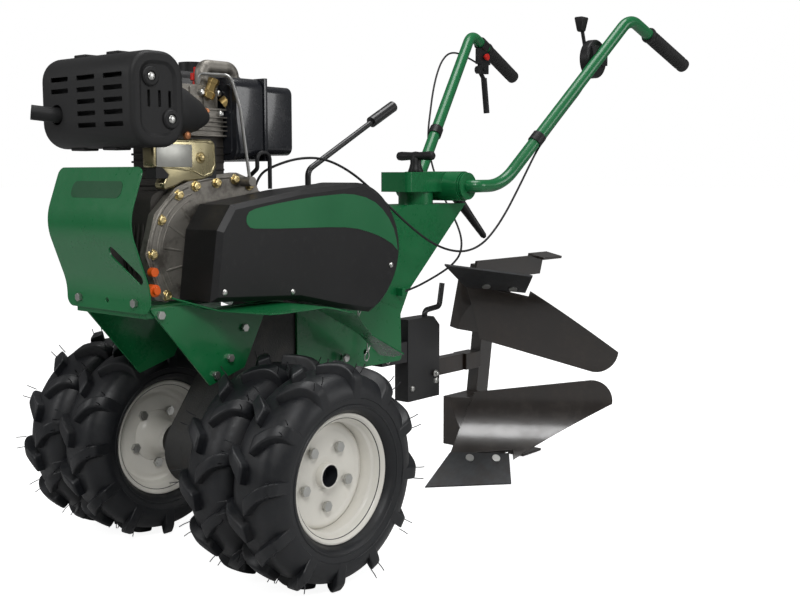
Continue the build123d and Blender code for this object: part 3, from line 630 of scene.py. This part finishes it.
# %% Rims
RIM_LINE = [(0.1148, 0.0368), (0.1140, 0.0378), (0.1122, 0.0380), (0.1098, 0.0366), (0.1072, 0.0325),
            (0.1046, 0.0290), (0.1036, 0.0230), (0.1022, 0.0205), (0.0985, 0.0180), (0.0975, 0.0150),
            (0.0972, -0.0150), (0.0985, -0.0180), (0.1022, -0.0205), (0.1036, -0.0230), (0.1046, -0.0290),
            (0.1072, -0.0325), (0.1098, -0.0366), (0.1122, -0.0380), (0.1140, -0.0378), (0.1148, -0.0368)]
DISC_LINE = [(0.0965, -0.0125), (0.0955, -0.0075), (0.0930, -0.0045), (0.0890, -0.0032), (0.0850, -0.0035),
             (0.0815, -0.0052), (0.0780, -0.0058), (0.0380, -0.0058), (0.0350, -0.0048), (0.0320, -0.0046),
             (0.0225, -0.0046)]


def make_rim(name, centre_y, side, outer_wheel):
    centre = (AXLE_X, centre_y, AXLE_Z)
    strip = turned("strip", [(r, side * t) for r, t in RIM_LINE], centre, "Y", 120, closed=False)
    modify(strip, "SOLIDIFY", thickness=0.0022, offset=0.0)
    disc = turned("disc", [(r, side * t) for r, t in DISC_LINE], centre, "Y", 120, closed=False)
    modify(disc, "SOLIDIFY", thickness=0.0030, offset=0.0)
    low, high = (-0.0557, 0.0105) if outer_wheel else (-0.0635, 0.0595)
    hub_line = [(0.01605, low), (0.0222, low), (0.0230, low + 0.001), (0.0230, high - 0.0012), (0.0222, high),
                (0.0200, high), (0.0194, high - 0.001), (0.0194, high - 0.030), (0.01605, high - 0.034)]
    parts = [strip, disc, turned("hub", [(r, side * t) for r, t in hub_line], centre, "Y", 64)]
    lining = [(0.01950, high - 0.0012), (0.01930, high - 0.0010), (0.01925, high - 0.0296),
              (0.0001, high - 0.0300), (0.0001, high - 0.0320), (0.01950, high - 0.0318)]
    bore = turned("bore", [(r, side * t) for r, t in lining], centre, "Y", 64)
    if outer_wheel:
        done(join(name + "_bore", [bore]), "axle", bore_steel)
    else:
        bpy.data.objects.remove(bore)
    weld = [(0.0226, -0.0034), (0.0262, -0.0036), (0.0275, -0.0050), (0.0226, -0.0052)]
    parts.append(turned("weld", [(r, side * t) for r, t in weld], centre, "Y", 64))
    if not outer_wheel:
        cone = [(0.0226, -0.0075), (0.0520, -0.0078), (0.0460, -0.0110), (0.0390, -0.0180), (0.0340, -0.0300),
                (0.0310, -0.0470), (0.0290, -0.0540), (0.0226, -0.0560)]
        parts.append(turned("cone", [(r, side * t) for r, t in cone], centre, "Y", 64))
    rim = join(name, parts)
    smooth(rim, 32)
    return done(rim, "axle", cream_paint, ["rims"])


make_rim("rim_left_out", OUTER_Y, 1, True)
make_rim("rim_left_in", INNER_Y, 1, False)
make_rim("rim_right_in", -INNER_Y, -1, False)
make_rim("rim_right_out", -OUTER_Y, -1, True)

# %% [markdown]
# ## Label panels
# The machine has printed panels. They are kept as plain shapes: a darker band on the guard, and a green sweep
# on the belt cover, both thin films standing a hair off the surface.

# %% Belt cover sweep
film_green = gloss_paint("film_green", (0.010, 0.135, 0.046), 0.30, 0.15, 0.0)
band_green = gloss_paint("band_green", (0.004, 0.070, 0.022), 0.26, 0.1, 0.0)
sweep_line = [(43, 646), (42, 655), (36, 663), (22, 668), (5, 671), (-36, 677), (-78, 682), (-125, 687),
              (-172, 690), (-210, 692), (-243, 690), (-275, 684), (-303, 674), (-325, 660), (-345, 641),
              (-360, 620), (-369, 597), (-373, 574), (-356, 588), (-333, 599), (-312, 607), (-285, 615),
              (-250, 623), (-214, 627), (-160, 629), (-90, 630), (-30, 631), (22, 633), (34, 635), (40, 640)]
sweep = plate_xz("cover_sweep", [(x / 1000 + AXLE_X, z / 1000) for x, z in sweep_line], 0.1521, 0.1524)
done(sweep, "chassis", film_green)

# %% Guard band
def rounded_outline(half_width, half_height, radius, steps=6):
    points = []
    for quarter, (sx, sz) in enumerate(((1, 1), (-1, 1), (-1, -1), (1, -1))):
        for step in range(steps + 1):
            angle = pi / 2 * (quarter + step / steps)
            points.append((sx * (half_width - radius) + radius * cos(angle),
                           sz * (half_height - radius) + radius * sin(angle)))
    return points


band = plate_xz("guard_band", rounded_outline(0.072, 0.015, 0.012), 0.0, 0.0004)
outward = Vector((0.940, 0, 0.340))
upward = Vector((-0.340, 0, 0.940))
place = Matrix((Vector((0, -1, 0)), outward, upward)).transposed().to_4x4()
place.translation = Vector(axle_frame(251.7, 8, 703)) + outward * 0.0016
band.matrix_world = place
done(settle(band, "guard_band"), "chassis", band_green)

# %% [markdown]
# ## Cover screws
# The belt cover is held by small pan head screws. One is turned from a profile and copied.

# %% Screws
def screw_head(name, x, y, z, radius, height, side=1):
    profile = [(0.0, 0.0), (radius, 0.0), (radius, height * 0.35), (radius * 0.82, height * 0.8),
               (radius * 0.5, height), (0.0, height)]
    return turned(name, [(r, side * h) for r, h in profile], axle_frame(x, y, z), "Y", 24, closed=False)


cover_screws = [screw_head("screw", x, 152.0, z, 0.0055, 0.003)
                for x, z in ((-352, 545), (-70, 512), (96, 524))]
done(join("cover_screws", cover_screws), "chassis", zinc_steel)

# %% [markdown]
# ## Engine side cover
# The crankcase cover is a sand casting. Its flange follows the case in a raised bead, and a boss stands under
# each bolt. Ribs behind the flange stiffen the case and carry heat away.

# %% Side cover casting
COVER_LINE = [(157, 508), (176, 545), (189, 590), (181, 626), (167, 659), (146, 684), (120, 705), (98, 713)]
COVER_TOP = [(75, 721), (50, 726), (26, 728), (2, 729), (-20, 731), (-42, 724), (-64, 716)]
BOLT_SPOTS = [(147, 516), (176, 590), (156, 650), (116, 693), (77, 708), (28, 714), (-16, 720), (-52, 709)]


def bead(name, line, y, shift, radius):
    """A rounded rib that follows line, drawn in by shift towards the crankshaft."""
    centre = Vector((30, 611))
    points = []
    for x, z in line:
        inward = (centre - Vector((x, z))).normalized() * shift
        points.append(axle_frame(x + inward.x, y, z + inward.y))
    return tube(name, points, radius, "NURBS", 5)


def boss(x, z, radius=0.0095, low=53.0, high=56.1):
    height = (high - low) * 1e-3
    profile = [(0.0, 0.0), (radius + 0.003, 0.0), (radius, (high - low) * 0.7e-3),
               (radius - 0.0008, height), (0.0, height)]
    return turned("boss", profile, axle_frame(x, low, z), "Y", 28, closed=False)


cover_parts = [bead("flange", COVER_LINE, 54.5, 6, 0.0040),
               bead("inner_line", COVER_LINE, 55.0, 22, 0.0022),
               bead("step_line", COVER_LINE, 55.0, 33, 0.0016),
               bead("top_flange", COVER_TOP, 54.5, 5, 0.0035)]
cover_parts += [boss(x, z) for x, z in BOLT_SPOTS]
for x, z, x2, z2 in ((110, 672, 84, 640), (138, 640, 104, 618), (150, 600, 112, 594), (146, 560, 112, 566)):
    cover_parts.append(tube("rib", [axle_frame(x, 55.2, z), axle_frame(x2, 55.2, z2)], 0.0024, "POLY", 3))
castings = join("cover_castings", cover_parts)
done(castings, "chassis", cast_alloy)

# %% Gold flange bolts
def flange_bolt(x, z):
    washer = [(0.0, 0.0), (0.0098, 0.0), (0.0100, 0.0008), (0.0090, 0.0018), (0.0, 0.0018)]
    head = [(0.0, 0.0), (0.0078, 0.0), (0.0079, 0.0055), (0.0066, 0.0068), (0.0040, 0.0070), (0.0038, 0.0060),
            (0.0, 0.0060)]
    low = turned("washer", washer, axle_frame(x, 56.1, z), "Y", 32, closed=False)
    return [low, turned("hex", head, axle_frame(x, 57.4, z), "Y", 6, closed=False)]


bolt_parts = [part for x, z in BOLT_SPOTS for part in flange_bolt(x, z)]
cover_bolts = join("cover_bolts", bolt_parts)
smooth(cover_bolts, 25)
done(cover_bolts, "chassis", gold_zinc)

# %% Ribs on the crankcase
CASE_LINE = [(158, 512), (172, 560), (174, 600), (166, 650), (150, 684), (120, 702)]
case_ribs = [bead("case_rib", CASE_LINE, 30 - 13 * step, 4, 0.0030) for step in range(6)]
for z in (708, 722, 736, 750, 764, 778):
    case_ribs.append(bar_block("fin", axle_frame(-14, -84, z), axle_frame(112, 31.5, z + 4), 0.0012, 2))
done(join("case_ribs", case_ribs), "chassis", cast_dark)

# %% [markdown]
# ## Cooling shroud
# A pressed sheet in yellow zinc leads air round the cylinder. Its face has a shallow raised field with a
# blank rating plate and one bolt.

# %% Shroud
shroud_line = [(173, 741), (173, 776), (166, 785), (120, 792), (40, 792), (30, 786), (28, 742), (38, 726),
               (60, 719), (104, 716), (128, 706), (146, 702), (150, 712), (140, 728), (152, 739)]
shroud = plate_xz("shroud", [(x / 1000 + AXLE_X, z / 1000) for x, z in shroud_line], 0.0300, 0.0585,
                  0.004, 4)
field_line = [(170, 744), (170, 780), (120, 788), (84, 788), (56, 788), (36, 784), (33, 746), (42, 732),
              (60, 726), (84, 736)]
field = tube("field_edge", [axle_frame(x, 58.2, z) for x, z in field_line + field_line[:1]], 0.0016,
             "POLY", 3)
done(join("shroud", [shroud, field]), "chassis", shroud_gold)
rating = bar_block("rating_plate", axle_frame(86, 58.4, 742), axle_frame(165, 60.0, 782), 0.0006, 2)
done(rating, "chassis", silver_plate)
shroud_bolt = [screw_head("shroud_bolt", 66, 58.4, 759, 0.0105, 0.0025),
               screw_head("shroud_bolt", 66, 60.4, 759, 0.0068, 0.006)]
done(join("shroud_bolt", shroud_bolt), "chassis", gold_zinc)

# %% [markdown]
# ## Muffler shield
# The heat shield is a deep drawn box. Tabs clip it at the top, and two bolts in rubber washers hold its end.

# %% Shield box
def choose_edges(piece, test):
    """Select the edges whose two ends pass test, in edit mode."""
    pick(piece)
    bpy.ops.object.mode_set(mode="EDIT")
    bpy.ops.mesh.select_mode(type="EDGE")
    bpy.ops.mesh.select_all(action="DESELECT")
    bpy.ops.object.mode_set(mode="OBJECT")
    for edge in piece.data.edges:
        ends = [piece.data.vertices[k].co for k in edge.vertices]
        edge.select = test(*ends)
    bpy.ops.object.mode_set(mode="EDIT")


def choose_faces(piece, test):
    pick(piece)
    bpy.ops.object.mode_set(mode="EDIT")
    bpy.ops.mesh.select_mode(type="FACE")
    bpy.ops.mesh.select_all(action="DESELECT")
    bpy.ops.object.mode_set(mode="OBJECT")
    for face in piece.data.polygons:
        face.select = test(face)
    bpy.ops.object.mode_set(mode="EDIT")


def drawn_box(name, low, high, corner, rim, dish, depth, axis=1):
    """A deep drawn box along one axis: big corners, a rolled rim and a dished end."""
    deselect()
    centre = [(a + b) / 2 for a, b in zip(low, high)]
    bpy.ops.mesh.primitive_cube_add(size=1, location=centre, scale=[b - a for a, b in zip(low, high)])
    box = settle(bpy.context.object, name)
    choose_edges(box, lambda a, b: abs(a[axis] - b[axis]) > 0.01)
    bpy.ops.mesh.bevel(offset=corner, segments=10, affect="EDGES")
    bpy.ops.object.mode_set(mode="OBJECT")
    choose_faces(box, lambda face: abs(face.normal[axis]) > 0.9)
    bpy.ops.mesh.inset(thickness=dish, depth=0)
    bpy.ops.mesh.inset(thickness=depth * 1.6, depth=-depth)
    bpy.ops.object.mode_set(mode="OBJECT")
    modify(box, "BEVEL", width=rim, segments=4, angle_limit=radians(50))
    return box


def cut(piece, cutter):
    modify(piece, "BOOLEAN", operation="DIFFERENCE", solver="EXACT", object=cutter)
    bpy.data.objects.remove(cutter)
    return piece


shield = drawn_box("shield_box", axle_frame(150, -140, 774), axle_frame(260, 121, 933), 0.044, 0.009,
                   0.017, 0.0035)
choose_faces(shield, lambda face: face.center.x < AXLE_X + 0.1525)
bpy.ops.mesh.delete(type="FACE")
bpy.ops.object.mode_set(mode="OBJECT")
modify(shield, "SOLIDIFY", thickness=0.0026, offset=-1.0)
slots = []
for column_y, rows in ((-82, 2), (-5, 5), (71, 5)):
    for row in range(rows):
        z = 892 - 20 * row
        slots.append(bar_block("slot", axle_frame(236, column_y - 26, z - 4),
                               axle_frame(275, column_y + 26, z + 4), 0.0018))
for x in (179, 200, 222):
    slots.append(bar_block("slot", axle_frame(x - 2.8, 100, 840), axle_frame(x + 2.8, 130, 868), 0.0018))
hole = [(0.0, -0.02), (0.0175, -0.02), (0.0175, 0.02), (0.0, 0.02)]
slots.append(turned("slot", hole, axle_frame(255, -92, 832), "X", 40, closed=False))
for slot in slots:
    cut(shield, slot)
smooth(shield, 30)
done(shield, "chassis", shield_black, ["muffler_shield"])
print("shield faces", len(shield.data.polygons))

# %% Shield details
SHIELD_BOLTS = ((219, 890), (178, 821))
ring = [(0.0, 0.0), (0.0165, 0.0), (0.0165, 0.0030), (0.0140, 0.0055), (0.0085, 0.0060), (0.0085, 0.0040),
        (0.0, 0.0040)]
shield_parts = [turned("washer", ring, axle_frame(x, 117.0, z), "Y", 36, closed=False)
                for x, z in SHIELD_BOLTS]
for y in (-86, 8):
    shield_parts.append(bar_block("tab", axle_frame(196, y, 930), axle_frame(226, y + 34, 936.5), 0.0020))
    shield_parts.append(bar_block("tab", axle_frame(196, y - 18, 770.5), axle_frame(226, y + 24, 776),
                                  0.0020))
done(join("shield_details", shield_parts), "chassis", shield_black)
shield_bolts = [screw_head("shield_bolt", x, 121.0, z, 0.0070, 0.003) for x, z in SHIELD_BOLTS]
done(join("shield_bolts", shield_bolts), "chassis", zinc_steel)
cone = [(0.0, 0.0), (0.0500, 0.0), (0.0500, 0.014), (0.0440, 0.045), (0.0290, 0.085), (0.0160, 0.106),
        (0.0120, 0.112), (0.0, 0.113)]
outlet_cone = turned_on("outlet_cone", cone, axle_frame(166, 64, 842), axle_frame(56, 60, 830), 56)
done(outlet_cone, "chassis", shield_black)
cone_bolts = [screw_head("cone_bolt", 118, 84, 797, 0.0080, 0.006),
              screw_head("cone_bolt", 60, 64, 842, 0.0055, 0.012)]
done(join("cone_bolts", cone_bolts), "chassis", copper_bolt)

# %% [markdown]
# ## Air cleaner
# The air cleaner is two blow-moulded shells on a flange. Blow moulding can't make sharp corners, so the boxes
# get large radii, and the lid is a little smaller than the body behind it.

# %% Air cleaner shells
body_shell = drawn_box("cleaner_body", axle_frame(-82, -62, 755), axle_frame(-15, 65, 908), 0.022, 0.012,
                       0.012, -0.0025, axis=0)
seam = drawn_box("cleaner_seam", axle_frame(-92, -64, 754), axle_frame(-84, 67, 909), 0.018, 0.002, 0.010,
                 -0.0008, axis=0)
cleaner = join("cleaner_body", [body_shell, seam])
smooth(cleaner, 40)
done(cleaner, "chassis", gloss_black, ["air_cleaner_base"])
lid = drawn_box("cleaner_lid", axle_frame(-165, -56, 766), axle_frame(-93, 58, 897), 0.016, 0.009, 0.010,
                -0.0015, axis=0)
smooth(lid, 40)
done(lid, "chassis", gloss_black, ["air_cleaner_cover"])

# %% [markdown]
# ## Cylinder head
# The head and the rocker cover are two castings with a thin steel gasket between them. Cooling fins stand out
# of the head, and studs with domed nuts clamp the stack.

# %% Head details
head_parts = [bar_block("gasket", axle_frame(-15, -84, 846.2), axle_frame(120, 40.5, 849.6), 0.0004, 1),
              bar_block("gasket", axle_frame(-15, -84, 798.4), axle_frame(120, 40.5, 801.8), 0.0004, 1)]
for z in (808, 816, 824, 832):
    head_parts.append(bar_block("fin", axle_frame(-18, -80, z), axle_frame(110, 42.5, z + 2.6), 0.0009, 2))
for x in (-4, 24, 56, 84):
    head_parts.append(bar_block("rib", axle_frame(x, 20, 851), axle_frame(x + 5, 27.5, 888), 0.0015, 2))
done(join("head_fins", head_parts), "chassis", cast_alloy)
nuts = []
for x, y, z in ((2, 38, 840), (40, 38, 840), (-6, 24, 878), (34, 24, 878), (76, 24, 860)):
    nuts.append(screw_head("nut", x, y, z, 0.0062, 0.0075))
done(join("head_nuts", nuts), "chassis", zinc_steel)
brass_line = [(0.0, 0.0), (0.0115, 0.0), (0.0118, 0.012), (0.0095, 0.014), (0.0092, 0.028), (0.0110, 0.030),
              (0.0105, 0.038), (0.0, 0.038)]
brass = [turned_on("brass", brass_line, axle_frame(22, 28, 868), axle_frame(10, 34, 902), 6),
         turned_on("brass", brass_line, axle_frame(-12, 30, 858), axle_frame(-30, 44, 876), 24)]
done(join("brass_fittings", brass), "chassis", brass_fitting)

# %% [markdown]
# ## Plough hitch hardware
# The hitch is pinned to the side plates, so that the plough comes off without tools. Each pin is kept by a
# spring clip bent from steel wire.

# %% Pins and clips
def spring_clip(name, x, y, z, lean, size=1.0):
    """An R-shaped wire clip hanging in a plane that faces left."""
    loop = [(0, 0), (1, -14), (-3, -26), (3, -36), (-2, -48), (5, -58), (13, -54), (12, -44), (5, -36),
            (7, -22), (5, -8), (6, 4)]
    points = []
    for u, w in loop:
        u, w = u * size, w * size
        points.append(axle_frame(x + u * cos(lean) - w * sin(lean), y, z + u * sin(lean) + w * cos(lean)))
    return tube(name, points, 0.0013, "NURBS", 3)


clips = [spring_clip("clip", -312, 75, 452, 2.9), spring_clip("clip", -346, 77, 470, 0.25),
         spring_clip("clip", -372, 76, 392, 0.1), spring_clip("clip", -520, 24, 318, 1.2, 0.6)]
done(join("spring_clips", clips), "chassis", zinc_steel)
pins = [screw_head("pin", x, y, z, r, h) for x, y, z, r, h in (
    (-300, 72, 440, 0.0095, 0.006), (-300, 72, 350, 0.0095, 0.006), (-430, 72, 350, 0.0085, 0.005))]
done(join("side_pins", pins), "chassis", zinc_steel)
hitch_bolts = [screw_head("hitch_bolt", -669, 20, 244, 0.0085, 0.006),
               screw_head("hitch_bolt", -582, 20, 236, 0.0070, 0.005),
               screw_head("hitch_bolt", -669, -20, 244, 0.0085, 0.006, -1)]
done(join("hitch_bolts", hitch_bolts), body_of("hitch_box"), zinc_steel)
pivot_bolt = [screw_head("pivot_bolt", -662, 26, 262, 0.0085, 0.004),
              screw_head("pivot_bolt", -662, 30, 262, 0.0058, 0.004)]
done(join("pivot_bolt", pivot_bolt), "beam_socket", zinc_steel)

# %% [markdown]
# ## Grips and knobs
# Grips are rubber sleeves with moulded rings. A profile spun about the bar's own line gives rings that follow
# the bend of the handlebar.

# %% Grips
def bar_point(distance_from_end, side=1):
    top, end = Vector((-1162, 245, 1118)), Vector((-1406, 272, 1019))
    point = end - (end - top).normalized() * distance_from_end
    return Vector(axle_frame(point.x, point.y * side, point.z))


def grip_profile():
    line = [(0.0146, 0.0), (0.0190, 0.0), (0.0202, 0.003), (0.0198, 0.008), (0.0175, 0.012)]
    for ring in range(14):
        start = 0.018 + ring * 0.0105
        line += [(0.0170, start), (0.0183, start + 0.002), (0.0183, start + 0.006), (0.0170, start + 0.008)]
    line += [(0.0178, 0.170), (0.0183, 0.175), (0.0178, 0.180), (0.0135, 0.1825), (0.0, 0.183)]
    return line


for side, name in ((1, "grip_left"), (-1, "grip_right")):
    grip = turned_on(name, grip_profile(), bar_point(176, side), bar_point(-7, side), 40)
    tidy_normals(grip)
    smooth(grip, 30)
    done(grip, "handlebars", grip_rubber, ["grips"])

# %% T knob
knob_line = [(0.0, -0.054), (0.0060, -0.0535), (0.0095, -0.050), (0.0105, -0.042), (0.0098, -0.028),
             (0.0090, -0.012), (0.0105, 0.0), (0.0090, 0.012), (0.0098, 0.028), (0.0105, 0.042),
             (0.0095, 0.050), (0.0060, 0.0535), (0.0, 0.054)]
knob_bar = turned("knob_bar", knob_line, axle_frame(-618, 0, 772), "Y", 32, closed=False)
stem_line = [(0.0, 0.0), (0.0175, 0.0), (0.0180, 0.002), (0.0150, 0.010), (0.0125, 0.020), (0.0130, 0.030),
             (0.0100, 0.0385), (0.0, 0.039)]
knob_stem = turned("knob_stem", stem_line, axle_frame(-618, 0, 735.4), "Z", 32, closed=False)
knob = join("t_knob", [knob_bar, knob_stem])
done(knob, "height_knob", black_plastic, ["height_knob"])

# %% Throttle knob and clamp blade
def wedge_knob(name, centre, low_size, high_size, height):
    """A faceted knob, wider at its top, from a cube with its two ends scaled."""
    deselect()
    bpy.ops.mesh.primitive_cube_add(size=1, location=(0, 0, 0))
    knob = settle(bpy.context.object, name)
    for vertex in knob.data.vertices:
        size = high_size if vertex.co.z > 0 else low_size
        vertex.co = (vertex.co.x * size[0], vertex.co.y * size[1], vertex.co.z * height)
    modify(knob, "BEVEL", width=0.0045, segments=3, limit_method="NONE")
    knob.location = centre
    return smooth(settle(knob, name), 40)


lever_foot = Vector(axle_frame(-1085, 170.5, 1015))
knob_centre = Vector(axle_frame(-1056, 170, 1098))
neck_line = [(0.0, 0.0), (0.0080, 0.0), (0.0080, 0.020), (0.0045, 0.032), (0.0045, 0.078), (0.0, 0.078)]
neck = turned_on("neck", neck_line, lever_foot, knob_centre, 24)
head_knob = wedge_knob("head_knob", knob_centre, (0.020, 0.015, 1), (0.034, 0.025, 1), 0.036)
disc_line = [(0.0, -0.003), (0.014, -0.003), (0.014, 0.004), (0.012, 0.0045), (0.0, 0.0045)]
pivot_disc = turned("pivot", disc_line, lever_foot, "Y", 32, closed=False)
throttle_lever = join("throttle_handle", [neck, head_knob, pivot_disc])
done(throttle_lever, "throttle_lever", black_plastic, ["throttle_lever"])
blade_line = [(0.0, 0.0), (0.0120, 0.0), (0.0135, 0.010), (0.0125, 0.030), (0.0100, 0.075), (0.0085, 0.115),
              (0.0075, 0.135), (0.0040, 0.141), (0.0, 0.142)]
blade = turned_on("clamp_blade", blade_line, axle_frame(-757, 0, 690), axle_frame(-828, 48, 576), 32)
done(blade, "clamp_lever", black_plastic, ["clamp_lever"])

# %% [markdown]
# ## Control cables
# A sheathed cable bends in long even curves. A NURBS line through the same stations as the CAD route gives
# that curve, and the cable is a thin round sheath along it.

# %% Cables
THROTTLE_ROUTE = [
    (-86, 34, 700.3), (-93, 37, 728), (-126, 46, 746), (-184, 56, 762), (-244, 68, 762), (-300, 86, 737),
    (-351, 103, 697), (-400, 115, 656), (-454, 122, 617), (-513, 127, 583), (-575, 130, 562),
    (-638, 133, 556), (-692, 138, 571), (-734, 143, 603), (-768, 150, 643), (-799, 156, 687),
    (-828, 162, 731), (-858, 164, 770), (-895, 160, 802), (-936, 170, 845), (-982, 185, 896),
    (-1022, 196, 937), (-1061, 190, 969.5)]
CLUTCH_ROUTE = [
    (-1206, -262, 1046), (-1150, -267, 1064), (-1093, -266, 1065), (-1043, -255, 1039), (-1000, -240, 996),
    (-962, -223, 945), (-932, -207, 893), (-903, -191, 846), (-885, -176, 802), (-874, -156, 758),
    (-857, -126, 717), (-838, -91, 678), (-818, -52, 641), (-801, -16, 606), (-780, 13, 572),
    (-746, 35, 541), (-700, 46, 519), (-648, 52, 503), (-594, 56, 489), (-548, 56, 477), (-508.5, 54, 470)]


def cable(name, node, route, length):
    curve = bpy.data.curves.new(name, "CURVE")
    curve.dimensions = "3D"
    curve.bevel_depth = 0.0025
    curve.bevel_resolution = 4
    curve.use_fill_caps = True
    spline = curve.splines.new("NURBS")
    spline.points.add(len(route) - 1)
    for point, place in zip(spline.points, route):
        point.co = (*axle_frame(*place), 1)
    spline.order_u = 3
    spline.use_endpoint_u = True
    spline.resolution_u = 10
    piece = bpy.data.objects.new(name, curve)
    bpy.context.scene.collection.objects.link(piece)
    piece.data.materials.append(cable_black)
    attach(piece, "chassis")
    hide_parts(node)
    axle_frame(*route[0])
    print(name, length, "m")


cable("throttle_sheath", "throttle_cable", THROTTLE_ROUTE, 1.251)
cable("clutch_sheath", "clutch_cable", CLUTCH_ROUTE, 1.088)

# %% [markdown]
# ## Stage
# The floor is plain and pale, and three large soft lights stand round the machine, so that gloss paint shows
# long soft highlights and nothing is lost in black.

# %% Floor and lights
deselect()
bpy.ops.mesh.primitive_plane_add(size=120, location=(0, 0, -0.0005))
floor = settle(bpy.context.object, "floor")
floor_sheet = ShaderSheet("floor_paint")
floor_colour = floor_sheet.mix(floor_sheet.noise(0.6), (0.55, 0.55, 0.55, 1), (0.58, 0.58, 0.58, 1))
camera_ray = floor_sheet.add("ShaderNodeLightPath", {}, {})
glow = floor_sheet.mix(camera_ray, (0, 0, 0, 1), (1, 1, 1, 1))
floor.data.materials.append(floor_sheet.surface(base_color=floor_colour, roughness=0.95,
                                                emission_color=glow, emission_strength=0.92))


def soft_light(name, place, target, size, power):
    data = bpy.data.lights.new(name, "AREA")
    data.shape = "DISK"
    data.size = size
    data.energy = power
    light = bpy.data.objects.new(name, data)
    bpy.context.scene.collection.objects.link(light)
    light.location = place
    light.rotation_euler = (Vector(target) - Vector(place)).to_track_quat("-Z", "Y").to_euler()
    return light


soft_light("key", (2.6, 2.6, 3.2), (0.2, 0, 0.5), 1.5, 88)
soft_light("left_fill", (3.4, -1.6, 2.0), (0.3, 0, 0.5), 1.5, 30)
soft_light("right_fill", (-1.6, 3.4, 1.6), (-0.2, 0, 0.5), 1.6, 34)
soft_light("top", (-0.2, 0.2, 3.6), (0, 0, 0.4), 1.8, 62)

# %% [markdown]
# ## World
# The world is white to the camera but lights the machine only faintly, so that black parts stay black.

# %% World
WHITE = (1.0, 1.0, 1.0, 1.0)
world = bpy.data.worlds.new("studio")
world.use_nodes = True
tree = world.node_tree
ambient = tree.nodes["Background"]
ambient.inputs[0].default_value = WHITE
ambient.inputs[1].default_value = 0.17
backdrop = tree.nodes.new("ShaderNodeBackground")
backdrop.inputs[0].default_value = WHITE
backdrop.inputs[1].default_value = 1.0
choose = tree.nodes.new("ShaderNodeMixShader")
seen = tree.nodes.new("ShaderNodeLightPath")
tree.links.new(seen.outputs["Is Camera Ray"], choose.inputs[0])
tree.links.new(ambient.outputs[0], choose.inputs[1])
tree.links.new(backdrop.outputs[0], choose.inputs[2])
tree.links.new(choose.outputs[0], tree.nodes["World Output"].inputs[0])
bpy.context.scene.world = world
bpy.context.scene.view_settings.view_transform = "Standard"
